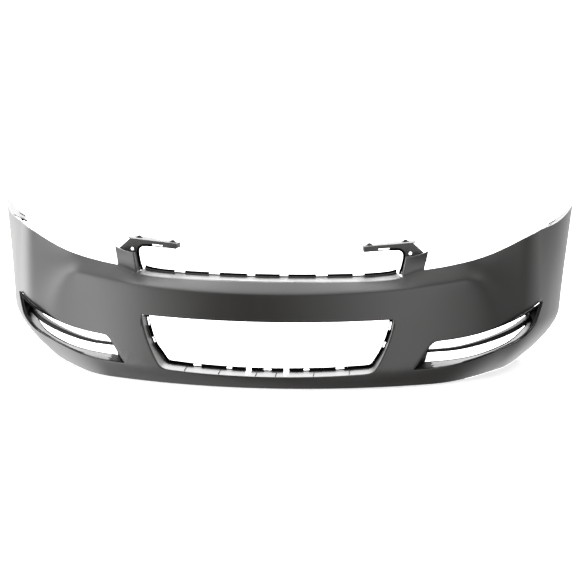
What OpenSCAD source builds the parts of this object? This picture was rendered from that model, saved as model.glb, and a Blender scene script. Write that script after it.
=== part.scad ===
// Front bumper cover of a mid-size saloon car, with the fasteners that hold it to the body.
// X runs across the car and the car's left side is +X. The front faces -Y, and Z is up.
// The cover stands on its level lower edge at Z = 0, with the origin in the middle of its box.

/* [Cover] */
// Overall width across the two wing tips
cover_width = 1830; // [1820:2:1850]
// Height of the wing tips above the lower edge
tip_height = 492; // [484:2:500]
// Wall thickness of the moulding
wall = 3; // [2.6:0.1:3.4]
// Forward lean of the face for each millimetre of height
face_rake = 0.096; // [0.08:0.002:0.11]
// Height of the soft crease at the centre line
crease_height = 275; // [270:1:280]
// Height of the top of the shelf at the centre line
shelf_height = 305; // [302:1:308]
// Setback of the shelf and of the wings' top edge from the face
shelf_setback = 50; // [44:1:54]

/* [Lower grille opening] */
// Half of the opening's width at its top corners
grille_half = 356; // [354:1:358]
// Height of the opening's top edge at the centre line
grille_top = 197; // [192:1:204]
// Height of the opening's sill at the centre line
grille_sill = 37; // [34:1:40]
// Depth of the ledge below the opening
sill_depth = 80; // [70:1:90]
// Depth of the ledge at the sides of the opening
jamb_depth = 50; // [44:1:56]
// Height of the upright flange at the back of the ledge
grille_flange = 12; // [10:1:14]

/* [Upper grille opening] */
// Half of the width between the towers at the foot
tower_foot = 372; // [370:1:374]
// Width of a tower
tower_width = 68; // [66:1:70]
// Depth from the face to the flange behind the upper ledge
ledge_depth = 88; // [80:1:96]
// Height of the flange behind the upper ledge
ledge_flange = 7; // [6:0.5:9]

/* [Side vents] */
// Depth of a vent's recess
vent_depth = 50; // [44:1:56]
// Height of a blade at its inner end
blade_height = 12.5; // [11:0.5:14]
// Depth of a blade
blade_depth = 18; // [14:1:22]

/* [Fasteners] */
// Diameter of the shank of a push-in retainer
shank_d = 8; // [7.6:0.1:8.4]
// Length of that shank below its flange
shank_len = 15; // [14:0.5:16]
// Diameter of the retainer's flange
retainer_flange_d = 20; // [18:0.5:22]
// Diameter of the retainer's centre pin
centre_pin_d = 5; // [4.8:0.1:5.2]
// Radial clearance round the centre pin
pin_clearance = 0.05; // [0.02:0.01:0.1]
// Diameter of the locating hole in each arm
locator_d = 11; // [10:0.5:12]
// Diameter of the holes in the lower edge flange
lower_hole_d = 7; // [6:0.5:8]
// Diameter of the screw holes round the wheel arch
arch_hole_d = 5.2; // [4.8:0.1:5.6]
// Thread core diameter of the spring nuts on the fender flange
nut_core_d = 4.4; // [4.2:0.1:5]

/* [Hidden] */
$fn = 48;

// Plan of the face: a shallow bow, then the tighter turn into the wings
front_y = -318;
plan_bow = 0.000513;
corner_x = 745.5;
corner_soft = 45;
corner_rate = 0.01225;
rake_height = 150;
// Lower edge: it tucks in under the face, much further under the wings
foot_inset_front = 30;
foot_inset_wing = 86;
tuck_power = 1.6;
// Rear edge of the wings, just in front of the wheel
wing_fan_x = 806;
arch_foot_x = 860;
wing_last_x = 876;
tip_flare = 33;
wing_top = [
    [0, shelf_height], [200, shelf_height + 1], [372, shelf_height + 6], [440, shelf_height + 27],
    [520, 343], [600, 357], [660, 373], [720, 396], [760, 414], [800, 431], [840, 449], [876, tip_height]
];
// Vent outline
vent_in = 418;
vent_tip = 800;
vent_tip_z = 216;
vent_corner_z = 52;
// Joints of the moulding overlap by this much
joint = 1;
skin_colour = [0.26, 0.25, 0.24];
black_colour = [0.08, 0.08, 0.08];
trim_colour = [0.2, 0.2, 0.2];
ledge_colour = [0.4, 0.4, 0.39];

// ---- small functions ----
function mix(a, b, t) = a + (b - a) * t;
function clamp01(t) = min(1, max(0, t));
function smooth(t) = let (c = clamp01(t)) c * c * (3 - 2 * c);
function soft_min(a, b, r) = (a + b - sqrt(pow(a - b, 2) + r * r)) / 2;
function soft_max(a, b, r) = (a + b + sqrt(pow(a - b, 2) + r * r)) / 2;
function unit(v) = v / norm(v);
function last(v) = len(v) - 1;
function flip(p) = [-p[0], p[1], p[2]];

// A smooth curve through the points of a table, at x
function tangent_at(t, i) =
    let (a = max(i - 1, 0), b = min(i + 1, last(t))) (t[b][1] - t[a][1]) / (t[b][0] - t[a][0]);
function span_of(t, x, i = 0) = (i >= last(t) - 1 || x < t[i + 1][0]) ? i : span_of(t, x, i + 1);
function curve(t, x) =
    let (
        i = span_of(t, x),
        w = t[i + 1][0] - t[i][0],
        u = (x - t[i][0]) / w,
        m0 = tangent_at(t, i) * w,
        m1 = tangent_at(t, i + 1) * w
    )
    (2 * pow(u, 3) - 3 * u * u + 1) * t[i][1] + (pow(u, 3) - 2 * u * u + u) * m0
    + (3 * u * u - 2 * pow(u, 3)) * t[i + 1][1] + (pow(u, 3) - u * u) * m1;

// ---- the face ----
function corner_run(x) = soft_max(x - corner_x, 0, corner_soft);
function plan_y(x) = front_y + plan_bow * x * x + corner_rate * pow(corner_run(x), 2);
function plan_slope(x) =
    2 * plan_bow * x
    + corner_rate * corner_run(x) * (1 + (x - corner_x) / norm([x - corner_x, corner_soft]));
function square_on(x) = 1 / norm([1, plan_slope(x)]);
function knee_z(x) = 60 + 100 * smooth((x - 350) / 450);
function foot_inset(x) = foot_inset_front + foot_inset_wing * smooth((x - 480) / 300);
function tuck(x, z) = foot_inset(x) * pow(max(0, 1 - z / knee_z(x)), tuck_power);
function crease_z(x) = crease_height + 36 * pow(abs(x) / 620, 2.2);
function top_z(x) = curve(wing_top, abs(x));
function wingness(x) = smooth((x - 560) / 180);
function shoulder_z(x) = mix(crease_z(x), 220, wingness(x));
function shoulder_soft(x) = mix(0.16, 0.9, wingness(x));
function top_inset(x) = shelf_setback * square_on(x) - tip_flare * smooth((x - 800) / 90);
function shoulder(q, x, z) =
    let (t = (z - shoulder_z(q)) / (top_z(q) - shoulder_z(q)), r = shoulder_soft(q))
    top_inset(x) * soft_max(t, 0, r) / soft_max(1, 0, r);
// A point at height z, a distance n behind the upright face at station x
function behind(x, z, n) =
    let (k = square_on(x))
    [x - n * plan_slope(x) * k, plan_y(x) + n * k - face_rake * (z - rake_height), z];
// Stations beyond the vent fan out, so that the last one follows the wheel arch's edge
function rear_x(z) = mix(arch_foot_x, cover_width / 2 - 22.5, z / tip_height);
function fan_x(q, z) =
    let (reach = (rear_x(z) - wing_fan_x) / (wing_last_x - wing_fan_x))
    q <= wing_fan_x ? q : wing_fan_x + (q - wing_fan_x) * reach;
function skin_pt(q, z, depth = 0) =
    let (x = fan_x(q, z)) behind(x, z, tuck(x, z) + shoulder(q, x, z) + depth);
function skin_normal(q, z) =
    unit(cross(skin_pt(q + 1, z) - skin_pt(q - 1, z), skin_pt(q, z + 1) - skin_pt(q, z - 1)));

// ---- the two openings' outlines ----
function grille_high(x) = grille_top + 4 * pow(x / 350, 2);
function grille_low(x) =
    let (sill = grille_sill + 4 * pow(min(x, 257) / 220, 2), d = max(0, grille_half - x))
    soft_max(190 - 10.1 * pow(d, 0.675), sill, 20);
function vent_high(x) =
    soft_min(vent_corner_z + 1.56 * (x - vent_in + 2), 134 + 82 * pow(max(0, x - 480) / 320, 2), 14);
function vent_low(x) =
    vent_corner_z + 47 * pow(max(0, x - 450) / 260, 2) + 82 * pow(max(0, x - 725) / 75, 2.5)
    - 2 * smooth((x - 740) / 60);

// ---- sheets: a grid of points given a wall ----
// grid[column][row]; the visible side is where columns x rows points
function at(g, i, j, wrap) =
    let (n = len(g), c = wrap ? (i + n) % n : min(max(i, 0), n - 1)) g[c][min(max(j, 0), len(g[0]) - 1)];
function grid_normal(g, i, j, wrap) =
    let (
        along = at(g, i + 1, j, wrap) - at(g, i - 1, j, wrap),
        across = at(g, i, j + 1, wrap) - at(g, i, j - 1, wrap)
    ) unit(cross(along, across));
function sheet_points(g, t, wrap) = concat(
    [for (i = [0:last(g)], j = [0:last(g[0])]) g[i][j]],
    [for (i = [0:last(g)], j = [0:last(g[0])]) g[i][j] - t * grid_normal(g, i, j, wrap)]
);
function two_triangles(q) = [[q[0], q[1], q[2]], [q[0], q[2], q[3]]];

// A sheet with thickness t behind its visible side; wrap joins the last column to the first
module sheet(g, t = wall, wrap = false) {
    m = len(g);
    r = len(g[0]);
    spans = wrap ? m : m - 1;
    function id(i, j, back) = (back ? m * r : 0) + (i % m) * r + j;
    quads = concat(
        [for (i = [0:spans - 1], j = [0:r - 2])
            [id(i, j, false), id(i, j + 1, false), id(i + 1, j + 1, false), id(i + 1, j, false)]],
        [for (i = [0:spans - 1], j = [0:r - 2])
            [id(i, j, true), id(i + 1, j, true), id(i + 1, j + 1, true), id(i, j + 1, true)]],
        [for (i = [0:spans - 1])
            [id(i, 0, false), id(i + 1, 0, false), id(i + 1, 0, true), id(i, 0, true)]],
        [for (i = [0:spans - 1])
            [id(i + 1, r - 1, false), id(i, r - 1, false), id(i, r - 1, true), id(i + 1, r - 1, true)]],
        wrap ? [] : [for (j = [0:r - 2])
            [id(0, j + 1, false), id(0, j, false), id(0, j, true), id(0, j + 1, true)]],
        wrap ? [] : [for (j = [0:r - 2])
            [id(m - 1, j, false), id(m - 1, j + 1, false), id(m - 1, j + 1, true), id(m - 1, j, true)]]
    );
    polyhedron(points = sheet_points(g, t, wrap), faces = [for (q = quads) each two_triangles(q)]);
}

// ---- cover skin ----
grille_stations = [268, 284, 296, 306, 316, 326, 335, 342, 348, 352.5, 355, grille_half + 0.5];
bridge_stations = [372, 388, 402, vent_in - 2];
vent_in_stations = [422, 430, 440, 448, 456, 464, 474, 490];
vent_out_stations = [708, 724, 738, 750, 761, 771, 780, 788, 795, vent_tip];
wing_stations = [814, 826, 838, 850, 860, 868, wing_last_x];
stations = concat(
    [for (x = [0:28:252]) x], grille_stations, bridge_stations, vent_in_stations,
    [for (x = [515:25:690]) x], vent_out_stations, wing_stations
);
low_cells = 5;
face_cells = 4;
shelf_cells = 5;
rows = low_cells + face_cells + shelf_cells + 2;

function in_grille(x) = x < grille_half;
function in_vent(x) = x > vent_in && x < vent_tip;
function seam_z(x) =
    let (share = (x - grille_half) / (vent_in - grille_half - 2))
    x < vent_in + 1 ? mix(195, vent_corner_z, smooth(share)) : vent_tip_z;
function cut_low(x) = in_grille(x) ? grille_low(x) : in_vent(x) ? vent_low(x) : seam_z(x);
function cut_high(x) = in_grille(x) ? grille_high(x) : in_vent(x) ? vent_high(x) : seam_z(x);
function row_z(x, j) =
    j <= low_cells ? mix(0, cut_low(x), j / low_cells)
    : j <= low_cells + 1 + face_cells ? mix(cut_high(x), crease_z(x) - 3, (j - low_cells - 1) / face_cells)
    : mix(crease_z(x) - 3, top_z(x), (j - low_cells - 1 - face_cells) / shelf_cells);

module cover_skin() {
    n = last(stations);
    m = 2 * n + 1;
    function station(i) = stations[abs(i - n)];
    function side(i, p) = i < n ? flip(p) : p;
    function open(i) = in_grille(station(i)) || in_vent(station(i));
    function slit(i) = open(i) || open(i + 1);
    // Where the sheet is not cut, the rows on the two sides of the cut are one row
    function row(i, j) = (j == low_cells + 1 && !open(i)) ? low_cells : j;
    function front(i, j) = i * rows + row(i, j);
    function back(i, j) = m * rows + i * rows + row(i, j);
    points = concat(
        [for (i = [0:m - 1], j = [0:rows - 1]) side(i, skin_pt(station(i), row_z(station(i), j)))],
        [for (i = [0:m - 1], j = [0:rows - 1])
            let (x = station(i), z = row_z(x, j)) side(i, skin_pt(x, z) - wall * skin_normal(x, z))]
    );
    quads = concat(
        [for (i = [0:m - 2], j = [0:rows - 2]) if (j != low_cells)
            [front(i, j), front(i, j + 1), front(i + 1, j + 1), front(i + 1, j)]],
        [for (i = [0:m - 2], j = [0:rows - 2]) if (j != low_cells)
            [back(i, j), back(i + 1, j), back(i + 1, j + 1), back(i, j + 1)]],
        [for (i = [0:m - 2]) [front(i, 0), front(i + 1, 0), back(i + 1, 0), back(i, 0)]],
        [for (i = [0:m - 2])
            [front(i + 1, rows - 1), front(i, rows - 1), back(i, rows - 1), back(i + 1, rows - 1)]],
        [for (i = [0:m - 2]) if (slit(i))
            [front(i + 1, low_cells), front(i, low_cells), back(i, low_cells), back(i + 1, low_cells)]],
        [for (i = [0:m - 2]) if (slit(i))
            [front(i, low_cells + 1), front(i + 1, low_cells + 1),
                back(i + 1, low_cells + 1), back(i, low_cells + 1)]],
        [for (j = [0:rows - 2]) if (j != low_cells)
            [front(0, j + 1), front(0, j), back(0, j), back(0, j + 1)]],
        [for (j = [0:rows - 2]) if (j != low_cells)
            [front(m - 1, j), front(m - 1, j + 1), back(m - 1, j + 1), back(m - 1, j)]]
    );
    color(skin_colour) polyhedron(points = points, faces = [for (q = quads) each two_triangles(q)]);
}

// ---- towers between the grille and the headlamps ----
tower_top_inner = [388, -211, 373];
tower_top_outer = [451, -168, 387];
tower_return = 30;
tower_steps = 6;
function tower_foot_pt(a) =
    let (x = tower_foot + tower_width * a) skin_pt(x, top_z(x) - 1) + [0, 0.5, 0];
function tower_head_pt(a) =
    mix(tower_top_inner, tower_top_outer, a) + [0, -12 * a * (1 - a), -6 * a * (1 - a)];
// The plate leaves the shelf in a hollow curve, then stands up
function tower_pt(a, h) =
    mix(tower_foot_pt(a), tower_head_pt(a), h) + [0, 10 * h * (1 - h), -6 * h * (1 - h)];
function tower_side_pt(k, h) = tower_pt(0, h) + [2 * k, tower_return * k * (1 - 0.35 * h), 0];

module grille_tower() color(skin_colour)
    sheet(concat(
        [for (k = [1, 0.5]) [for (h = [0:tower_steps]) tower_side_pt(k, h / tower_steps)]],
        [for (a = [0:10]) [for (h = [0:tower_steps]) tower_pt(a / 10, h / tower_steps)]]
    ));

// ---- arms above the upper opening ----
arm_start = [268, -187.5, 398];
arm_sweep = 6.84;
arm_tilt = 5;
arm_len = 139;
arm_web_t = 3;
shelf_t = 3;
shelf_depth_inner = 42;
shelf_depth_outer = 70;
outer_seat = [123, 38];
inner_seat = [18, 23];
locator = [399, 379];
box_len = 40;
box_depth = 38;
// Web outline: distance along the car's X, and height
web_under = [
    [270, 382], [308, 386], [341, 389], [366, 390.5], [374, 389], [380, 384],
    [383.5, 376], [383.5, 368], [381, 357], [376.5, 346], [372, 334], [369, 321]
];
web_outer = [[392, 321], [398, 344], [446, 356], [447, 374], [434, 385], [406, 410]];

module in_arm() translate(arm_start) rotate([0, 0, arm_sweep]) children();
module on_shelf() in_arm() rotate([0, -arm_tilt, 0]) children();

module arm_web() in_arm() difference() {
    rotate([90, 0, 0]) translate([0, 0, -arm_web_t]) linear_extrude(arm_web_t)
        polygon([for (p = concat([[268, 398]], web_under, web_outer))
            [(p[0] - arm_start[0]) / cos(arm_sweep), p[1] - arm_start[2]]]);
    translate([(locator[0] - arm_start[0]) / cos(arm_sweep), 0, locator[1] - arm_start[2]])
        rotate([90, 0, 0]) cylinder(d = locator_d, h = 4 * arm_web_t, center = true);
}

module arm_shelf() on_shelf() difference() {
    translate([0, 0, -shelf_t]) linear_extrude(shelf_t)
        polygon([[0, arm_web_t - joint], [arm_len, arm_web_t - joint], [arm_len + 14, 26],
            [arm_len + 6, shelf_depth_outer], [96, shelf_depth_outer],
            [60, shelf_depth_inner], [0, shelf_depth_inner]]);
    for (seat = [outer_seat, inner_seat])
        translate([seat[0], seat[1], 0]) cylinder(d = shank_d + 0.6, h = 4 * shelf_t, center = true);
}

// Two cheeks close the arm's free end into a box
module arm_box() in_arm() {
    for (u = [0, box_len - 2])
        translate([u, arm_web_t - joint, -14]) cube([2, box_depth, 12]);
    translate([0, arm_web_t + box_depth - joint - 2, -14]) cube([box_len, 2, 12]);
}

module upper_arm() color(trim_colour) union() {
    arm_web();
    arm_shelf();
    arm_box();
}

// ---- ledges round the two grille openings ----
function steps_to(a, b, n) = [for (i = [0:n]) mix(a, b, i / n)];
upper_half = [for (x = steps_to(0, tower_foot - 1, 16)) x];
upper_slots = [[51, 25], [167, 35], [279, 35]];
ledge_slot_h = 4;
function upper_ledge_column(x) =
    let (z = top_z(x)) [
        skin_pt(x, z - 1, 0.5), skin_pt(x, z + 1, 4),
        behind(x, z + 10, ledge_depth), behind(x, z + 10 + ledge_flange, ledge_depth + 1)
    ];

// Windows through a flange, for the grille's hooks
module windows(list, height) {
    for (side = [-1, 1], s = list) {
        p = behind(s[0], 0, ledge_depth);
        translate([side * s[0], p[1] - face_rake * height, height])
            rotate([0, 0, side * atan(plan_slope(s[0]))])
                cube([s[1], 30, ledge_slot_h], center = true);
    }
}

module upper_grille_ledge() color(ledge_colour) difference() {
    sheet(concat(
        [for (i = [last(upper_half):-1:1]) [for (p = upper_ledge_column(upper_half[i])) flip(p)]],
        [for (x = upper_half) upper_ledge_column(x)]
    ), t = 2.5);
    windows(upper_slots, shelf_height + 10 + ledge_flange / 2 + 2);
}

// Half outline of the lower opening, from the centre of the sill to the top corner
lower_half = [for (x = concat(steps_to(0, 252, 9), grille_stations))
    if (x < grille_half) [x, grille_low(x)]];
function outline_inward(i) =
    let (
        a = lower_half[max(i - 1, 0)],
        b = lower_half[min(i + 1, last(lower_half))],
        d = unit(b - a)
    ) [-d[1], d[0]];
function ledge_back(z) = mix(sill_depth, jamb_depth, smooth((z - 60) / 60));
function lower_ledge_pt(i, inward, n) =
    let (p = lower_half[i] + inward * outline_inward(i)) behind(p[0], p[1], n);
function lower_ledge_column(i) =
    let (z = lower_half[i][1], n = ledge_back(z)) [
        skin_pt(lower_half[i][0], z, wall - joint), lower_ledge_pt(i, 1, n / 2),
        lower_ledge_pt(i, 4, n), lower_ledge_pt(i, 4 + grille_flange, n + 1)
    ];
sill_slots = [[0, 22], [111, 16], [206, 24]];
jamb_slots = [[333, 118, 16], [348, 176, 25]];
notch_x = 54;
notch_w = 15;

module lower_ledge_sheet()
    sheet(concat(
        [for (i = [last(lower_half):-1:1]) [for (p = lower_ledge_column(i)) flip(p)]],
        [for (i = [0:last(lower_half)]) lower_ledge_column(i)]
    ), t = 2.5);

module lower_grille_ledge() color(ledge_colour) difference() {
    lower_ledge_sheet();
    // Windows in the flange below the opening
    for (side = [-1, 1], s = sill_slots)
        translate([side * s[0], behind(s[0], 50, sill_depth)[1], grille_low(s[0]) + 4 + grille_flange / 2])
            cube([s[1], 40, 5], center = true);
    // Windows in the flange at the sides
    for (side = [-1, 1], s = jamb_slots)
        translate([side * (s[0] - 1), behind(s[0], s[1], jamb_depth)[1], s[1]])
            rotate([0, side * 14, 0]) cube([5, 40, s[2]], center = true);
    // Two notches through the flange and most of the ledge
    for (side = [-1, 1])
        translate([side * notch_x - notch_w / 2, behind(notch_x, 50, 22)[1], grille_sill - 8])
            cube([notch_w, 100, 40]);
}

// ---- side vents ----
// Front outline, then the smaller outline at the back of the recess; k runs once round
vent_steps = 22;
corner_steps = 5;
function vent_back_dx(x) = mix(28, -24, (x - vent_in) / (vent_tip - vent_in));
function vent_top_dx(x) = mix(7, -24, (x - 455) / (vent_tip - 455));
function vent_low_dz(x) = 14 - 52 * smooth((x - 740) / 60);
function vent_high_dz(x) = -6 - 32 * smooth((x - 700) / 100);
function ease(t) = sin(90 * t);
vent_low_x = [for (i = [0:vent_steps]) mix(vent_in, vent_tip - 1, ease(i / vent_steps))];
vent_high_x = [for (i = [vent_steps:-1:0]) mix(456, vent_tip - 1, ease(i / vent_steps))];
vent_side_x = [for (i = [corner_steps - 1:-1:1]) mix(vent_in, 456, i / corner_steps)];
vent_front = concat(
    [for (x = vent_low_x) [x, vent_low(x)]], [for (x = vent_high_x) [x, vent_high(x)]],
    [for (x = vent_side_x) [x, vent_high(x)]]
);
vent_rear = concat(
    [for (x = vent_low_x) [x + vent_back_dx(x), vent_low(x) + vent_low_dz(x)]],
    [for (x = vent_high_x) [x + vent_top_dx(x), vent_high(x) + vent_high_dz(x)]],
    [for (x = vent_side_x)
        let (t = (x - vent_in) / (456 - vent_in)) [x + mix(28, 7, t), vent_high(x) + mix(14, -6, t)]]
);
vent_step_in = 0.12;

module vent_bezel() color(trim_colour)
    sheet([for (i = [0:last(vent_front)])
        let (f = vent_front[i], r = vent_rear[i], s = mix(f, r, vent_step_in)) [
            skin_pt(f[0], f[1], wall - joint), behind(s[0], s[1], tuck(s[0], s[1]) + 10),
            behind(r[0], r[1], vent_depth)
        ]
    ], t = 2.2, wrap = true);

// The blade stands across the back of the recess
blade_x = steps_to(457, 766, 24);
blade_sides = 10;
function blade_mid(x) = 93.5 + 57 * pow(max(0, x - 460) / 290, 1.7);
function blade_half(x) = blade_height / 2 + 2.5 * smooth((x - 500) / 240);
function blade_ring(x) = [for (k = [0:blade_sides - 1])
    let (a = 360 * k / blade_sides)
    behind(x, blade_mid(x) + blade_half(x) * sin(a), vent_depth - 7 - blade_depth / 2 * cos(a))];

module vent_blade() color(black_colour) {
    rings = [for (x = blade_x) blade_ring(x)];
    n = blade_sides;
    m = len(rings);
    sides = [for (i = [0:m - 2], k = [0:n - 1])
        [i * n + k, (i + 1) * n + k, (i + 1) * n + (k + 1) % n, i * n + (k + 1) % n]];
    polyhedron(
        points = [for (r = rings, p = r) p],
        faces = concat(
            [for (q = sides) each two_triangles([q[3], q[2], q[1], q[0]])],
            [[for (k = [n - 1:-1:0]) k]], [[for (k = [0:n - 1]) (m - 1) * n + k]]
        )
    );
}

// ---- flange under the headlamp and fender, at the wing's tip ----
fender_start = [863.5, 195, 452.5];
fender_turn = [-31, -13.2, 68.7];
fender_t = 2.5;
nut_seats = [[32, 43.5], [-14, 43.5]];

module on_fender_flange() translate(fender_start) rotate(fender_turn) children();

module fender_flange() color(ledge_colour) on_fender_flange() difference() {
    linear_extrude(fender_t)
        polygon([[-26, -1.5], [0, -4], [30, -5.5], [80, -5], [100, -3.5], [118, -1], [132, 0.5], [134, 8],
            [100, 18], [64, 34], [44, 56], [-26, 56]]);
    for (s = nut_seats) translate([s[0], s[1], 0]) cylinder(d = 7, h = 4 * fender_t, center = true);
}

// Spring nuts clipped over the flange: two leaves, a bridge and a threaded boss
module spring_nut() {
    difference() {
        union() {
            translate([-8, -9, fender_t + 0.2]) cube([16, 23, 1.2]);
            translate([-6, -9, -1.4]) cube([12, 23, 1.2]);
            translate([-6, 12.8, -1.4]) cube([12, 1.2, fender_t + 2.8]);
            translate([0, 0, -5]) cylinder(d = 9, h = 3.7);
        }
        translate([0, 0, -6]) cylinder(d = nut_core_d, h = 12);
    }
}

module fender_nuts() color(black_colour) on_fender_flange() {
    for (s = nut_seats) translate([s[0], s[1], 0]) spring_nut();
}

// ---- flange round the wheel arch ----
arch_flange_w = 20;
arch_holes = [120, 250, 380];
arch_boss_d = 14;
arch_boss_h = 4;
function arch_pt(z, inward) = skin_pt(wing_last_x - 0.6, z, wall - joint) - [inward, 0.02 * inward, 0];
function arch_hole_pt(z) = arch_pt(z, arch_flange_w / 2 + 1);

module arch_flange() color(ledge_colour) difference() {
    union() {
        sheet([for (i = [0:20]) let (z = mix(30, 440, i / 20))
            [arch_pt(z, arch_flange_w), arch_pt(z, 0)]], t = 2.5);
        for (z = arch_holes) translate(arch_hole_pt(z) + [0, 0.5, 0]) rotate([90, 0, 0])
            cylinder(d = arch_boss_d, h = arch_boss_h);
    }
    for (z = arch_holes) translate(arch_hole_pt(z)) rotate([90, 0, 0])
        cylinder(d = arch_hole_d, h = 6 * arch_boss_h, center = true);
}

// ---- flat flange along the lower edge ----
lower_flange_t = 2.5;
lower_flange_w = 24;
lower_flange_x = steps_to(0, 600, 20);
lower_holes = [0, 220, 440];
function lower_edge_pt(x, back) =
    let (p = skin_pt(x, 0), d = unit([-plan_slope(x), 1])) [p[0], p[1]] + back * d;

module lower_edge_flange() color(ledge_colour) difference() {
    linear_extrude(lower_flange_t) polygon(concat(
        [for (i = [20:-1:1]) let (p = lower_edge_pt(lower_flange_x[i], wall - joint)) [-p[0], p[1]]],
        [for (x = lower_flange_x) lower_edge_pt(x, wall - joint)],
        [for (i = [20:-1:0]) lower_edge_pt(lower_flange_x[i], lower_flange_w)],
        [for (i = [1:20]) let (p = lower_edge_pt(lower_flange_x[i], lower_flange_w)) [-p[0], p[1]]]
    ));
    for (side = [-1, 1], x = lower_holes) {
        p = lower_edge_pt(x, lower_flange_w / 2 + 2);
        translate([side * p[0], p[1], 0]) cylinder(d = lower_hole_d, h = 4 * lower_flange_t, center = true);
    }
}

// ---- push-in retainers and their centre pins ----
retainer_flange_t = 2;
collar_d = 14;
collar_h = 1.8;
slit_w = 1.2;
pin_head_d = 12;
pin_head_t = 2.2;
seat_gap = 0.4;

module on_seat(seat) on_shelf() translate([seat[0], seat[1], 0]) children();

module retainer(seat) color(black_colour) on_seat(seat) difference() {
    union() {
        translate([0, 0, -shelf_t - shank_len]) cylinder(d = shank_d, h = shank_len + 1);
        // A neck fills the shelf's hole
        translate([0, 0, -shelf_t]) cylinder(d = shank_d + 0.4, h = shelf_t + 1);
        cylinder(d = retainer_flange_d, h = retainer_flange_t);
        translate([0, 0, retainer_flange_t - 0.5]) cylinder(d = collar_d, h = collar_h + 0.5);
    }
    translate([0, 0, -shelf_t - shank_len - 1])
        cylinder(r = centre_pin_d / 2 + pin_clearance, h = shank_len + shelf_t + 10);
    for (turn = [0, 90]) rotate([0, 0, turn])
        translate([-shank_d, -slit_w / 2, -shelf_t - shank_len - 1]) cube([2 * shank_d, slit_w, 8]);
}

module centre_pin(seat) color(black_colour) on_seat(seat) {
    head_z = retainer_flange_t + collar_h + seat_gap;
    translate([0, 0, -shelf_t - shank_len + 0.5])
        cylinder(d = centre_pin_d, h = shelf_t + shank_len + head_z);
    translate([0, 0, head_z]) cylinder(d1 = pin_head_d, d2 = pin_head_d - 4, h = pin_head_t);
}

module right_side() mirror([1, 0, 0]) children();

cover_skin();
grille_tower();  // left_grille_tower
right_side() grille_tower();  // right_grille_tower
upper_arm();  // left_upper_arm
right_side() upper_arm();  // right_upper_arm
upper_grille_ledge();
lower_grille_ledge();
vent_bezel();  // left_vent_bezel
right_side() vent_bezel();  // right_vent_bezel
vent_blade();  // left_vent_blade
right_side() vent_blade();  // right_vent_blade
fender_flange();  // left_fender_flange
right_side() fender_flange();  // right_fender_flange
arch_flange();  // left_arch_flange
right_side() arch_flange();  // right_arch_flange
lower_edge_flange();
fender_nuts();  // left_fender_nuts
right_side() fender_nuts();  // right_fender_nuts
retainer(outer_seat);  // left_outer_retainer
retainer(inner_seat);  // left_inner_retainer
right_side() retainer(outer_seat);  // right_outer_retainer
right_side() retainer(inner_seat);  // right_inner_retainer
centre_pin(outer_seat);  // left_outer_pin
centre_pin(inner_seat);  // left_inner_pin
right_side() centre_pin(outer_seat);  // right_outer_pin
right_side() centre_pin(inner_seat);  // right_inner_pin
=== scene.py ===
"""Looks of a car's front bumper cover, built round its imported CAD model.

Sizes are in millimetres in the classes below, and become metres as each mesh is made.
X runs across the car with its left side at +X, the front faces -Y, and Z is up.
"""

import logging
import math
from dataclasses import dataclass
from enum import Enum
from typing import Optional, Sequence, Union

import bmesh
import bpy
import numpy as np
from mathutils import Matrix, Vector
from mathutils.geometry import tessellate_polygon
from mathutils.kdtree import KDTree


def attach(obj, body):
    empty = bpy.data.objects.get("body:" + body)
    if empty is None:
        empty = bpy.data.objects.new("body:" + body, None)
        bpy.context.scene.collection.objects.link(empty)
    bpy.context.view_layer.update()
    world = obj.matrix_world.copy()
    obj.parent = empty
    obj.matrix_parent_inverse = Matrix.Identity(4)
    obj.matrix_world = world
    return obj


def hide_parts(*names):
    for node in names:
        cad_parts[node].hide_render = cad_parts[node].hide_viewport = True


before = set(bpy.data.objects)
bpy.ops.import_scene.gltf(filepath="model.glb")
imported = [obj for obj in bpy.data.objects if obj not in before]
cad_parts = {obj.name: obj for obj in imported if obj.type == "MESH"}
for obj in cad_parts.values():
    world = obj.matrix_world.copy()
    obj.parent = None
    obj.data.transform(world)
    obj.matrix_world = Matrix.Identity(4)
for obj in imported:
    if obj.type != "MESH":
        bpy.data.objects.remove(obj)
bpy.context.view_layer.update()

log = logging.getLogger("bumper_cover")

MM = 0.001
COVER = "cover"
WHITE = (1.0, 1.0, 1.0, 1.0)

Values = Union[float, np.ndarray]
Point2 = tuple[float, float]
Point3 = tuple[float, float, float]


class Side(Enum):
    """A side of the car."""

    LEFT = 1
    RIGHT = -1

    @property
    def word(self) -> str:
        """The side's name, as piece and node names have it."""
        return self.name.lower()


class Layer(Enum):
    """Which skin of a sheet a face belongs to."""

    FRONT = 0
    BACK = 1
    RIM = 2


# ---------------------------------------------------------------------------
# Numbers
# ---------------------------------------------------------------------------


def mix(a: Values, b: Values, t: Values) -> Values:
    """A value a share t of the way from a to b."""
    return a + (b - a) * t


def smooth(t: Values) -> Values:
    """Eased share: 0 up to 0, 1 from 1 on, with no corner between."""
    c = np.clip(t, 0.0, 1.0)
    return c * c * (3 - 2 * c)


def soft_min(a: Values, b: Values, r: float) -> Values:
    """The lower of a and b, with the corner between them rounded by r."""
    return (a + b - np.sqrt((a - b) ** 2 + r * r)) / 2


def soft_max(a: Values, b: Values, r: float) -> Values:
    """The higher of a and b, with the corner between them rounded by r."""
    return (a + b + np.sqrt((a - b) ** 2 + r * r)) / 2


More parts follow.
